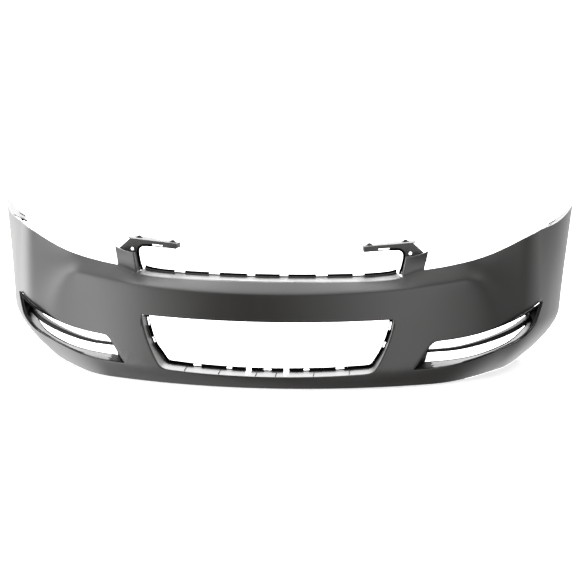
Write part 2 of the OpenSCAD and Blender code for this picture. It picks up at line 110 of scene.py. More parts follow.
def curve_through(table: Sequence[Point2], x: Values) -> Values:
    """A smooth curve through the points of a table.

    Args:
        table: Points in order of their first number.
        x: Where to read the curve.

    Returns:
        The curve's height at each x.
    """
    xs, ys = np.array(table, float).T
    low = np.maximum(np.arange(len(xs)) - 1, 0)
    high = np.minimum(np.arange(len(xs)) + 1, len(xs) - 1)
    slopes = (ys[high] - ys[low]) / (xs[high] - xs[low])
    i = np.clip(np.searchsorted(xs, x, side="right") - 1, 0, len(xs) - 2)
    width = xs[i + 1] - xs[i]
    u = (x - xs[i]) / width
    return (
        (2 * u**3 - 3 * u**2 + 1) * ys[i]
        + (u**3 - 2 * u**2 + u) * slopes[i] * width
        + (3 * u**2 - 2 * u**3) * ys[i + 1]
        + (u**3 - u**2) * slopes[i + 1] * width
    )


def unit(v: np.ndarray) -> np.ndarray:
    """Vectors along the last axis, made one long."""
    return v / np.maximum(np.linalg.norm(v, axis=-1, keepdims=True), 1e-12)


def near_edge(low: float, high: float, count: int, at_low: bool, at_high: bool) -> np.ndarray:
    """Heights from low to high that crowd together towards an edge that gets rounded.

    Args:
        low: The first height.
        high: The last height.
        count: How many steps the middle stretch has.
        at_low: Whether to crowd them at the low end.
        at_high: Whether to crowd them at the high end.

    Returns:
        The heights, in rising order.
    """
    crowd = np.array([0.0, 0.35, 0.9, 1.6, 2.6])
    start = low + crowd if at_low else np.array([low])
    end = (high - crowd)[::-1] if at_high else np.array([high])
    middle = np.linspace(start[-1], end[0], count + 1)[1:-1]
    return np.concatenate([start, middle, end])


# ---------------------------------------------------------------------------
# Shapes
# ---------------------------------------------------------------------------


@dataclass
class Shape:
    """Corners in millimetres, faces, and the finish number of each face."""

    points: np.ndarray
    faces: list[tuple[int, ...]]
    finish: list[int]

    @staticmethod
    def plain(points: Sequence[Sequence[float]], faces: Sequence[Sequence[int]], finish: int = 0) -> "Shape":
        """A shape that has one finish all over."""
        return Shape(np.array(points, float), [tuple(f) for f in faces], [finish] * len(faces))

    def moved(self, matrix: np.ndarray) -> "Shape":
        """The shape with a 4 x 4 placement applied to it."""
        points = self.points @ matrix[:3, :3].T + matrix[:3, 3]
        return Shape(points, list(self.faces), list(self.finish))

    def on_side(self, side: Side) -> "Shape":
        """The shape itself for the left side, or its mirror image for the right.

        Args:
            side: The side wanted.

        Returns:
            The shape on that side.
        """
        if side is Side.LEFT:
            return self
        flipped = self.points * np.array([-1.0, 1.0, 1.0])
        return Shape(flipped, [tuple(reversed(f)) for f in self.faces], list(self.finish))

    def joined(self, *others: "Shape") -> "Shape":
        """This shape and others as one.

        Args:
            others: The shapes to add.

        Returns:
            One shape of all the faces.
        """
        points, faces, finish = [self.points], list(self.faces), list(self.finish)
        start = len(self.points)
        for other in others:
            points.append(other.points)
            faces += [tuple(i + start for i in f) for f in other.faces]
            finish += other.finish
            start += len(other.points)
        return Shape(np.concatenate(points), faces, finish)


def grid_normals(grid: np.ndarray, wrap: bool = False) -> np.ndarray:
    """Unit normals of a grid of points, on the side that column x row points to.

    Args:
        grid: Points as [column][row][xyz].
        wrap: Whether the last column joins the first.

    Returns:
        One normal for each point.
    """
    if wrap:
        along = np.roll(grid, -1, axis=0) - np.roll(grid, 1, axis=0)
    else:
        along = np.gradient(grid, axis=0)
    return unit(np.cross(along, np.gradient(grid, axis=1)))


def sheet(
    front: np.ndarray,
    back: np.ndarray,
    keep: Optional[np.ndarray] = None,
    wrap: bool = False,
    finishes: tuple[int, int, int] = (0, 0, 0),
) -> Shape:
    """A closed wall between two grids of points, with openings where cells are left out.

    Args:
        front: The visible side, as [column][row][xyz], facing column x row.
        back: The other side, point for point.
        keep: Which cells are there, as [column][row]; all of them by default.
        wrap: Whether the last column joins the first.
        finishes: Finish numbers of the front, the back and the cut edges.

    Returns:
        The wall as one closed shape.
    """
    columns, rows = front.shape[:2]
    spans = columns if wrap else columns - 1
    kept = np.ones((spans, rows - 1), bool) if keep is None else keep
    size = columns * rows

    def corner(i: int, j: int) -> int:
        """Number of the corner in a column and row."""
        return (i % columns) * rows + j

    faces: list[tuple[int, ...]] = []
    finish: list[int] = []
    edges: dict[tuple[int, int], bool] = {}
    for i in range(spans):
        for j in range(rows - 1):
            if not kept[i, j]:
                continue
            quad = (corner(i, j), corner(i + 1, j), corner(i + 1, j + 1), corner(i, j + 1))
            faces.append(quad)
            finish.append(finishes[Layer.FRONT.value])
            faces.append(tuple(size + k for k in reversed(quad)))
            finish.append(finishes[Layer.BACK.value])
            for a, b in zip(quad, quad[1:] + quad[:1]):
                if (b, a) in edges:
                    del edges[(b, a)]
                else:
                    edges[(a, b)] = True
    for a, b in edges:
        faces.append((b, a, size + a, size + b))
        finish.append(finishes[Layer.RIM.value])
    points = np.concatenate([front.reshape(-1, 3), back.reshape(-1, 3)])
    return Shape(points, faces, finish)


def walled(grid: np.ndarray, wall: float, **options: object) -> Shape:
    """A sheet of even thickness behind a grid of points.

    Args:
        grid: The visible side, as [column][row][xyz].
        wall: Thickness of the wall.
        **options: What sheet() takes besides its two grids.

    Returns:
        The wall as one closed shape.
    """
    normals = grid_normals(grid, bool(options.get("wrap", False)))
    return sheet(grid, grid - wall * normals, **options)


def slab(outline: Sequence[Point2], holes: Sequence[Sequence[Point2]], low: float, high: float) -> Shape:
    """A flat plate with holes, standing on the XY plane.

    Args:
        outline: The outer edge.
        holes: The edges of the holes.
        low: Height of its lower face.
        high: Height of its upper face.

    Returns:
        The plate as one closed shape.
    """
    loops = [list(outline)] + [list(h) for h in holes]
    flat = [p for loop in loops for p in loop]
    cuts = tessellate_polygon([[Vector((x, y, 0.0)) for x, y in loop] for loop in loops])
    faces: list[tuple[int, ...]] = []
    n = len(flat)
    for a, b, c in cuts:
        (ax, ay), (bx, by), (cx, cy) = flat[a], flat[b], flat[c]
        turn = (bx - ax) * (cy - ay) - (by - ay) * (cx - ax)
        if abs(turn) < 1e-9:
            continue
        tri = (a, b, c) if turn > 0 else (c, b, a)
        faces.append(tuple(n + k for k in tri))
        faces.append(tuple(reversed(tri)))
    start = 0
    for index, loop in enumerate(loops):
        ring = list(range(start, start + len(loop)))
        area = sum(
            flat[a][0] * flat[b][1] - flat[b][0] * flat[a][1] for a, b in zip(ring, ring[1:] + ring[:1])
        )
        if (area > 0) != (index == 0):
            ring.reverse()
        for a, b in zip(ring, ring[1:] + ring[:1]):
            faces.append((a, b, n + b, n + a))
        start += len(loop)
    points = [(x, y, low) for x, y in flat] + [(x, y, high) for x, y in flat]
    return Shape.plain(points, faces)


def ring(centre: Point2, radius: float, sides: int) -> list[Point2]:
    """Corners of a round outline."""
    turns = [2 * math.pi * k / sides for k in range(sides)]
    return [(centre[0] + radius * math.cos(a), centre[1] + radius * math.sin(a)) for a in turns]


def placement(origin: Point3, rx: float = 0.0, ry: float = 0.0, rz: float = 0.0) -> np.ndarray:
    """A 4 x 4 placement: turns in degrees about X, then Y, then Z, then a move.

    Args:
        origin: Where the origin goes.
        rx: Turn about X.
        ry: Turn about Y.
        rz: Turn about Z.

    Returns:
        The placement as a matrix.
    """
    turns = Matrix.Rotation(math.radians(rz), 4, "Z")
    turns = turns @ Matrix.Rotation(math.radians(ry), 4, "Y") @ Matrix.Rotation(math.radians(rx), 4, "X")
    return np.array(Matrix.Translation(Vector(origin)) @ turns)


# ---------------------------------------------------------------------------
# Finishes
# ---------------------------------------------------------------------------


class NodeSheet:
    """Lays out the nodes of one material."""

    def __init__(self, name: str) -> None:
        """Starts a material with a Principled shader.

        Args:
            name: The material's name.
        """
        self.material = bpy.data.materials.new(name)
        self.material.use_nodes = True
        self.nodes = self.material.node_tree.nodes
        self.links = self.material.node_tree.links
        self.shader = self.nodes["Principled BSDF"]
        self.coords = self.nodes.new("ShaderNodeTexCoord")

    def noise(self, scale: float, detail: float, stretch: Point3 = (1.0, 1.0, 1.0)) -> bpy.types.NodeSocket:
        """A noise pattern on Object coordinates.

        Args:
            scale: Grains per metre, roughly.
            detail: How many finer layers it has.
            stretch: Scale along each axis.

        Returns:
            The pattern's output, from 0 to 1.
        """
        place = self.nodes.new("ShaderNodeMapping")
        place.inputs["Scale"].default_value = stretch
        noise = self.nodes.new("ShaderNodeTexNoise")
        noise.inputs["Scale"].default_value = scale
        noise.inputs["Detail"].default_value = detail
        self.links.new(self.coords.outputs["Object"], place.inputs["Vector"])
        self.links.new(place.outputs["Vector"], noise.inputs["Vector"])
        return noise.outputs["Fac"]

    def cells(self, scale: float) -> bpy.types.NodeSocket:
        """A pattern of small rounded cells, as on grained plastic.

        Args:
            scale: Cells per metre.

        Returns:
            The pattern's output.
        """
        cells = self.nodes.new("ShaderNodeTexVoronoi")
        cells.inputs["Scale"].default_value = scale
        self.links.new(self.coords.outputs["Object"], cells.inputs["Vector"])
        return cells.outputs["Distance"]

    def ranged(self, source: bpy.types.NodeSocket, low: float, high: float) -> bpy.types.NodeSocket:
        """A pattern spread over a new range of values.

        Args:
            source: The pattern.
            low: The range's low end.
            high: The range's high end.

        Returns:
            The new pattern's output.
        """
        node = self.nodes.new("ShaderNodeMapRange")
        node.inputs["From Min"].default_value = 0.3
        node.inputs["From Max"].default_value = 0.7
        node.inputs["To Min"].default_value = low
        node.inputs["To Max"].default_value = high
        self.links.new(source, node.inputs["Value"])
        return node.outputs["Result"]

    def colour_from(self, source: bpy.types.NodeSocket, dark: Point3, light: Point3) -> None:
        """Colours the surface between two tones by a pattern.

        Args:
            source: The pattern.
            dark: The tone at its low end.
            light: The tone at its high end.
        """
        ramp = self.nodes.new("ShaderNodeValToRGB")
        ramp.color_ramp.elements[0].position = 0.32
        ramp.color_ramp.elements[1].position = 0.68
        ramp.color_ramp.elements[0].color = (*dark, 1.0)
        ramp.color_ramp.elements[1].color = (*light, 1.0)
        self.links.new(source, ramp.inputs["Fac"])
        self.links.new(ramp.outputs["Color"], self.shader.inputs["Base Color"])

    def bump_from(self, layers: Sequence[tuple[bpy.types.NodeSocket, float, float]]) -> None:
        """Adds relief from patterns.

        Args:
            layers: For each pattern its output, its strength and its height in metres.
        """
        before = None
        for source, strength, height in layers:
            bump = self.nodes.new("ShaderNodeBump")
            bump.inputs["Strength"].default_value = strength
            bump.inputs["Distance"].default_value = height
            self.links.new(source, bump.inputs["Height"])
            if before is not None:
                self.links.new(before, bump.inputs["Normal"])
            before = bump.outputs["Normal"]
        if before is not None:
            self.links.new(before, self.shader.inputs["Normal"])


@dataclass(frozen=True)
class Finish:
    """A moulded or coated surface: its tones, its sheen and its grain."""

    name: str
    dark: Point3
    light: Point3
    roughness: tuple[float, float]
    mottle_scale: float = 6.0
    grain_scale: float = 900.0
    grain_height: float = 0.00004
    grain_strength: float = 0.12
    leathered: bool = False
    metallic: float = 0.0
    specular: float = 0.5

    def material(self) -> bpy.types.Material:
        """The finish as a node material, made once.

        Returns:
            The material.
        """
        if self.name in bpy.data.materials:
            return bpy.data.materials[self.name]
        nodes = NodeSheet(self.name)
        mottle = nodes.noise(self.mottle_scale, 3.0, (1.0, 1.0, 0.6))
        fine = nodes.noise(self.grain_scale, 2.0)
        nodes.colour_from(mottle, self.dark, self.light)
        nodes.links.new(nodes.ranged(mottle, *self.roughness), nodes.shader.inputs["Roughness"])
        layers = [(fine, self.grain_strength, self.grain_height)]
        if self.leathered:
            layers.append((nodes.cells(self.grain_scale * 0.7), self.grain_strength * 2.5, self.grain_height))
        nodes.bump_from(layers)
        nodes.shader.inputs["Metallic"].default_value = self.metallic
        nodes.shader.inputs["Specular IOR Level"].default_value = self.specular
        return nodes.material


class Look(Enum):
    """The finishes on the object."""

    PRIMER = Finish("grey_primer", (0.0125, 0.0116, 0.0108), (0.015, 0.014, 0.013), (0.34, 0.4))
    # Near-black: the unprimed plastic on the backs of the walls, and painted shade on the ledge flanges, the
    # arm lips, the lower ledge's ribs and the deep ends of the vents.
    RAW = Finish(
        "raw_black_and_painted_shade", (0.0012, 0.0012, 0.0012), (0.0022, 0.0022, 0.0022), (0.6, 0.7), specular=0.06
    )
    GRAINED = Finish(
        "grained_black_plastic",
        (0.03, 0.029, 0.028),
        (0.04, 0.0385, 0.037),
        (0.5, 0.58),
        grain_scale=1100.0,
        grain_strength=0.3,
        leathered=True,
    )
    BLADE = Finish(
        "smooth_black_plastic", (0.002, 0.002, 0.002), (0.003, 0.003, 0.003), (0.45, 0.5), specular=0.12
    )
    NYLON = Finish("black_nylon", (0.008, 0.008, 0.008), (0.012, 0.012, 0.012), (0.4, 0.5), specular=0.4)
    SPRING = Finish("black_spring_steel", (0.02, 0.02, 0.02), (0.03, 0.03, 0.03), (0.35, 0.45), metallic=0.7)
    FLOOR = Finish("pale_floor", (0.86, 0.86, 0.86), (0.88, 0.88, 0.88), (0.75, 0.8), grain_scale=60.0)

    @property
    def material(self) -> bpy.types.Material:
        """The finish's material."""
        return self.value.material()


# ---------------------------------------------------------------------------
# Making pieces
# ---------------------------------------------------------------------------


def make_piece(
    name: str,
    shape: Shape,
    looks: Sequence[Look],
    replaces: Sequence[str] = (),
    bevel: float = 0.0,
    body: str = COVER,
    sharp: float = 38.0,
) -> bpy.types.Object:
    """Turns a shape into a Blender piece that rides on a body.

    Args:
        name: The piece's name.
        shape: Its corners and faces, in millimetres.
        looks: The finishes that the shape's finish numbers stand for.
        replaces: CAD nodes that the piece stands for.
        bevel: Width of the chamfer on its sharp edges, in millimetres.
        body: The CAD body it rides on.
        sharp: Edges that turn by more than this many degrees stay sharp.

    Returns:
        The piece.
    """
    mesh = bpy.data.meshes.new(name)
    used = np.unique(np.concatenate([np.array(f) for f in shape.faces]))
    renumber = np.full(len(shape.points), -1)
    renumber[used] = np.arange(len(used))
    faces = [tuple(int(renumber[i]) for i in f) for f in shape.faces]
    mesh.from_pydata((shape.points[used] * MM).tolist(), [], faces)
    for look in looks:
        mesh.materials.append(look.material)
    mesh.polygons.foreach_set("material_index", shape.finish)
    weld(mesh)
    piece = bpy.data.objects.new(name, mesh)
    bpy.context.scene.collection.objects.link(piece)
    mesh.shade_smooth()
    if bevel:
        rounding = piece.modifiers.new("edges", "BEVEL")
        rounding.width = bevel * MM
        rounding.segments = 2
        rounding.limit_method = "ANGLE"
        rounding.angle_limit = math.radians(sharp)
        rounding.harden_normals = False
        bake_modifiers(piece)
    piece.data.set_sharp_from_angle(angle=math.radians(sharp))
    settle(piece, body, replaces)
    return piece


def weld(mesh: bpy.types.Mesh, distance: float = 0.00001) -> None:
    """Merges corners that lie together and drops faces that collapse with them.

    Args:
        mesh: The mesh to clean.
        distance: How close two corners lie, in metres.
    """
    work = bmesh.new()
    work.from_mesh(mesh)
    bmesh.ops.remove_doubles(work, verts=work.verts, dist=distance)
    bmesh.ops.dissolve_degenerate(work, edges=work.edges, dist=distance)
    work.to_mesh(mesh)
    work.free()
    mesh.update()


def bake_modifiers(piece: bpy.types.Object) -> None:
    """Makes what the piece's modifiers give its own mesh, and removes them.

    Args:
        piece: The piece with modifiers.
    """
    graph = bpy.context.evaluated_depsgraph_get()
    made = bpy.data.meshes.new_from_object(piece.evaluated_get(graph), depsgraph=graph)
    made.name = piece.name
    piece.modifiers.clear()
    old = piece.data
    piece.data = made
    bpy.data.meshes.remove(old)


def settle(piece: bpy.types.Object, body: str, replaces: Sequence[str]) -> None:
    """Puts a finished piece on its body, hides the CAD nodes it stands for and logs its triangles.

    Args:
        piece: The finished piece.
        body: The body it rides.
        replaces: The CAD nodes it stands for.
    """
    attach(piece, body)
    if replaces:
        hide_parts(*replaces)
    piece.data.calc_loop_triangles()
    log.info("%s: %d triangles", piece.name, len(piece.data.loop_triangles))


# ---------------------------------------------------------------------------
# Geometry Nodes
# ---------------------------------------------------------------------------


class NodeTree:
    """A Geometry Nodes tree with named inputs."""

    def __init__(self, name: str, inputs: Sequence[tuple[str, str, object]]) -> None:
        """Starts a tree.

        Args:
            name: The tree's name.
            inputs: For each input its name, its socket type and its value.
        """
        self.tree = bpy.data.node_groups.new(name, "GeometryNodeTree")
        face = self.tree.interface
        face.new_socket(name="Geometry", in_out="INPUT", socket_type="NodeSocketGeometry")
        self.values: dict[str, object] = {}
        self.names: dict[str, str] = {}
        for label, kind, value in inputs:
            item = face.new_socket(name=label, in_out="INPUT", socket_type=kind)
            self.names[label] = item.identifier
            self.values[item.identifier] = value
        face.new_socket(name="Geometry", in_out="OUTPUT", socket_type="NodeSocketGeometry")
        self.start = self.add("NodeGroupInput")
        self.end = self.add("NodeGroupOutput")

    def add(self, kind: str, **settings: object) -> bpy.types.Node:
        """Adds a node and sets its properties.

        Args:
            kind: The node's type.
            settings: Properties to set.

        Returns:
            The node.
        """
        node = self.tree.nodes.new(kind)
        for key, value in settings.items():
            setattr(node, key, value)
        return node

    def link(self, source: bpy.types.NodeSocket, target: bpy.types.NodeSocket) -> None:
        """Joins two sockets."""
        self.tree.links.new(source, target)

    def dress(self, geometry: bpy.types.NodeSocket) -> None:
        """Ends the tree: real geometry, with its material set.

        Args:
            geometry: The geometry to end with.
        """
        real = self.add("GeometryNodeRealizeInstances")
        paint = self.add("GeometryNodeSetMaterial")
        self.link(geometry, real.inputs[0])
        self.link(real.outputs[0], paint.inputs["Geometry"])
        self.link(self.start.outputs["Material"], paint.inputs["Material"])
        self.link(paint.outputs[0], self.end.inputs[0])

    def run(self, carrier: bpy.types.Object) -> None:
        """Runs the tree on an object and keeps the result as the object's mesh.

        Args:
            carrier: The object.
        """
        step = carrier.modifiers.new(self.tree.name, "NODES")
        step.node_group = self.tree
        for identifier, value in self.values.items():
            step[identifier] = value
        bake_modifiers(carrier)


def carrier_of(
    name: str, points: np.ndarray, chained: bool, facts: dict[str, np.ndarray]
) -> bpy.types.Object:
    """An object whose mesh is loose points or one chain of edges.

    Args:
        name: The object's name.
        points: Points in millimetres.
        chained: Whether each point is joined to the next.
        facts: Named vector or number attributes, one value for each point.

    Returns:
        The object, linked to the scene.
    """
    mesh = bpy.data.meshes.new(name)
    edges = [(k, k + 1) for k in range(len(points) - 1)] if chained else []
    mesh.from_pydata((points * MM).tolist(), edges, [])
    for label, values in facts.items():
        kind = "FLOAT_VECTOR" if values.ndim == 2 else "FLOAT"
        layer = mesh.attributes.new(label, kind, "POINT")
        layer.data.foreach_set("vector" if values.ndim == 2 else "value", values.astype(np.float32).ravel())
    holder = bpy.data.objects.new(name, mesh)
    bpy.context.scene.collection.objects.link(holder)
    return holder


def sweep_bar(
    name: str, path: np.ndarray, swell: np.ndarray, depth: float, height: float, rounding: float, look: Look
) -> bpy.types.Object:
    """Sweeps a rounded bar along a path with Geometry Nodes.

    Args:
        name: The piece's name.
        path: Points of the bar's middle line, in millimetres.
        swell: Size of the section at each point, as a share of its full size.
        depth: Full width of the section, level and square to the path.
        height: Full height of the section.
        rounding: Radius of the section's corners.
        look: The bar's finish.

    Returns:
        The bar's object, not yet on a body.
    """
    tree = NodeTree(
        "swept_bar",
        [
            ("Depth", "NodeSocketFloat", depth * MM),
            ("Height", "NodeSocketFloat", height * MM),
            ("Rounding", "NodeSocketFloat", rounding * MM),
            ("Material", "NodeSocketMaterial", look.material),
        ],
    )
    line = tree.add("GeometryNodeMeshToCurve")
    upright = tree.add("GeometryNodeSetCurveNormal", mode="Z_UP")
    size = tree.add("GeometryNodeInputNamedAttribute", data_type="FLOAT")
    size.inputs["Name"].default_value = "swell"
    spread = tree.add("GeometryNodeSetCurveRadius")
    section = tree.add("GeometryNodeCurvePrimitiveQuadrilateral")
    corners = tree.add("GeometryNodeFilletCurve")
    corners.mode = "POLY"
    corners.inputs["Count"].default_value = 5
    solid = tree.add("GeometryNodeCurveToMesh")
    solid.inputs["Fill Caps"].default_value = True
    tree.link(tree.start.outputs["Geometry"], line.inputs[0])
    tree.link(line.outputs[0], upright.inputs["Curve"])
    tree.link(upright.outputs[0], spread.inputs["Curve"])
    tree.link(size.outputs["Attribute"], spread.inputs["Radius"])
    tree.link(tree.start.outputs["Depth"], section.inputs["Width"])
    tree.link(tree.start.outputs["Height"], section.inputs["Height"])
    tree.link(section.outputs[0], corners.inputs["Curve"])
    tree.link(tree.start.outputs["Rounding"], corners.inputs["Radius"])
    tree.link(spread.outputs[0], solid.inputs["Curve"])
    tree.link(corners.outputs[0], solid.inputs["Profile Curve"])
    if "Scale" in solid.inputs:
        tree.link(size.outputs["Attribute"], solid.inputs["Scale"])
    tree.dress(solid.outputs[0])
    bar = carrier_of(name, path, True, {"swell": swell})
    tree.run(bar)
    return bar


def repeat_block(
    name: str, spots: np.ndarray, turns: np.ndarray, size: Point3, look: Look
) -> bpy.types.Object:
    """Sets a small block on each of many spots with Geometry Nodes.

    Args:
        name: The piece's name.
        spots: Middle of each block, in millimetres.
        turns: Turns about X, Y and Z of each block, in radians.
        size: The block's size along its own axes, in millimetres.
        look: The blocks' finish.

    Returns:
        The object with all the blocks, not yet on a body.
    """
    tree = NodeTree(
        "repeated_block",
        [
            ("Size", "NodeSocketVector", tuple(v * MM for v in size)),
            ("Material", "NodeSocketMaterial", look.material),
        ],
    )
    block = tree.add("GeometryNodeMeshCube")
    turn = tree.add("GeometryNodeInputNamedAttribute", data_type="FLOAT_VECTOR")
    turn.inputs["Name"].default_value = "turn"
    euler = tree.add("FunctionNodeEulerToRotation")
    setter = tree.add("GeometryNodeInstanceOnPoints")
    points = tree.add("GeometryNodeMeshToPoints")
    tree.link(tree.start.outputs["Geometry"], points.inputs["Mesh"])
    tree.link(points.outputs[0], setter.inputs["Points"])
    tree.link(tree.start.outputs["Size"], block.inputs["Size"])
    tree.link(block.outputs["Mesh"], setter.inputs["Instance"])
    tree.link(turn.outputs["Attribute"], euler.inputs[0])
    tree.link(euler.outputs[0], setter.inputs["Rotation"])
    tree.dress(setter.outputs[0])
    holder = carrier_of(name, spots, False, {"turn": turns})
    tree.run(holder)
    return holder


def mirror_mesh(piece: bpy.types.Object) -> None:
    """Adds the piece's mirror image on the other side of the car to its mesh.

    Args:
        piece: A piece made on one side.
    """
    work = bmesh.new()
    work.from_mesh(piece.data)
    copy = bmesh.ops.duplicate(work, geom=work.verts[:] + work.edges[:] + work.faces[:])["geom"]
    for part in copy:
        if isinstance(part, bmesh.types.BMVert):
            part.co.x = -part.co.x
    bmesh.ops.reverse_faces(work, faces=[p for p in copy if isinstance(p, bmesh.types.BMFace)])
    work.to_mesh(piece.data)
    work.free()


# ---------------------------------------------------------------------------
# The cover's face
# ---------------------------------------------------------------------------


@dataclass(frozen=True)
class CoverSurface:
    """The outer face as a formula of the station across the cover and the height."""

    width: float = 1830.0
    tip_height: float = 492.0
    wall: float = 3.0
    rake: float = 0.096
    rake_height: float = 150.0
    crease_height: float = 275.0
    shelf_height: float = 305.0
    shelf_setback: float = 50.0
    front_y: float = -318.0
    plan_bow: float = 0.000513
    corner_x: float = 745.5
    corner_soft: float = 45.0
    corner_rate: float = 0.01225
    foot_inset_front: float = 30.0
    foot_inset_wing: float = 86.0
    tuck_power: float = 1.6
    wing_fan_x: float = 806.0
    arch_foot_x: float = 860.0
    wing_last_x: float = 876.0
    tip_flare: float = 33.0

    @property
    def wing_top(self) -> list[Point2]:
        """Height of the top edge at stations across half of the cover.

        Returns:
            Points of (station, height).
        """
        shelf = self.shelf_height
        near = [(0, shelf), (200, shelf + 1), (372, shelf + 6), (440, shelf + 27), (520, 343), (600, 357)]
        far = [(660, 373), (720, 396), (760, 414), (800, 431), (840, 449), (876, self.tip_height)]
        return near + far

    def corner_run(self, x: Values) -> Values:
        """How far a station is into the turn of the wing."""
        return soft_max(x - self.corner_x, 0.0, self.corner_soft)

    def plan_y(self, x: Values) -> Values:
        """Where the upright face is, seen from above."""
        return self.front_y + self.plan_bow * x * x + self.corner_rate * self.corner_run(x) ** 2

    def plan_slope(self, x: Values) -> Values:
        """Slope of the face, seen from above.

        Args:
            x: Stations across half of the cover.

        Returns:
            The slopes.
        """
        lean = x - self.corner_x
        turn = 1 + lean / np.sqrt(lean**2 + self.corner_soft**2)
        return 2 * self.plan_bow * x + self.corner_rate * self.corner_run(x) * turn

    def square_on(self, x: Values) -> Values:
        """Cosine of the face's angle to the car's width."""
        return 1 / np.sqrt(1 + self.plan_slope(x) ** 2)

    def tuck(self, x: Values, z: Values) -> Values:
        """How far the face has drawn in towards its foot.

        Args:
            x: Stations across half of the cover.
            z: Heights.

        Returns:
            The depths.
        """
        knee = 60 + 100 * smooth((x - 350) / 450)
        inset = self.foot_inset_front + self.foot_inset_wing * smooth((x - 480) / 300)
        return inset * np.maximum(0.0, 1 - z / knee) ** self.tuck_power

    def crease_z(self, x: Values) -> Values:
        """Height of the soft crease."""
        return self.crease_height + 36 * (np.abs(x) / 620) ** 2.2

    def top_z(self, x: Values) -> Values:
        """Height of the top edge."""
        return curve_through(self.wing_top, np.abs(x))

    def shoulder(self, q: Values, x: Values, z: Values) -> Values:
        """How far the face has drawn in above the crease.

        Args:
            q: Stations on the grid.
            x: The same stations, fanned out.
            z: Heights.

        Returns:
            The depths.
        """
        wing = smooth((q - 560) / 180)
        start = mix(self.crease_z(q), 220.0, wing)
        soft = mix(0.16, 0.9, wing)
        t = (z - start) / (self.top_z(q) - start)
        depth = self.shelf_setback * self.square_on(x) - self.tip_flare * smooth((x - 800) / 90)
        return depth * soft_max(t, 0.0, soft) / soft_max(1.0, 0.0, soft)

    def behind(self, x: Values, z: Values, depth: Values) -> np.ndarray:
        """A point at height z, a depth behind the upright face at station x.

        Args:
            x: Stations across half of the cover.
            z: Heights.
            depth: How far behind the face.

        Returns:
            The points.
        """
        k = self.square_on(x)
        across = x - depth * self.plan_slope(x) * k
        back = self.plan_y(x) + depth * k - self.rake * (z - self.rake_height)
        return np.stack(np.broadcast_arrays(across, back, z), axis=-1).astype(float)

    def fan_x(self, q: Values, z: Values) -> Values:
        """Stations near the wheel fan out to follow the arch's edge.

        Args:
            q: Stations on the grid.
            z: Heights.

        Returns:
            Stations across the cover.
        """
        rear = mix(self.arch_foot_x, self.width / 2 - 22.5, z / self.tip_height)
        reach = (rear - self.wing_fan_x) / (self.wing_last_x - self.wing_fan_x)
        return np.where(q <= self.wing_fan_x, q, self.wing_fan_x + (q - self.wing_fan_x) * reach)

    def point(self, q: Values, z: Values, depth: Values = 0.0) -> np.ndarray:
        """A point of the face at station q and height z, or that far behind it."""
        x = self.fan_x(q, z)
        return self.behind(x, z, self.tuck(x, z) + self.shoulder(q, x, z) + depth)

    def normal(self, q: Values, z: Values) -> np.ndarray:
        """Unit normals of the face, pointing out of it."""
        across = self.point(q + 0.5, z) - self.point(q - 0.5, z)
        return unit(np.cross(across, self.point(q, z + 0.5) - self.point(q, z - 0.5)))


@dataclass(frozen=True)
class GrilleOutline:
    """Edge of the lower grille opening."""

    half: float = 356.0
    top: float = 197.0
    sill: float = 37.0
    close: float = 356.5

    def high(self, x: Values) -> Values:
        """Height of the upper edge."""
        return self.top + 4 * (x / 350) ** 2

    def low(self, x: Values) -> Values:
        """Height of the sill and of the sides.

        Args:
            x: Stations across half of the cover.

        Returns:
            The heights.
        """
        sill = self.sill + 4 * (np.minimum(x, 257) / 220) ** 2
        side = 190 - 10.1 * np.maximum(0.0, self.half - x) ** 0.675
        return soft_max(side, sill, 20.0)


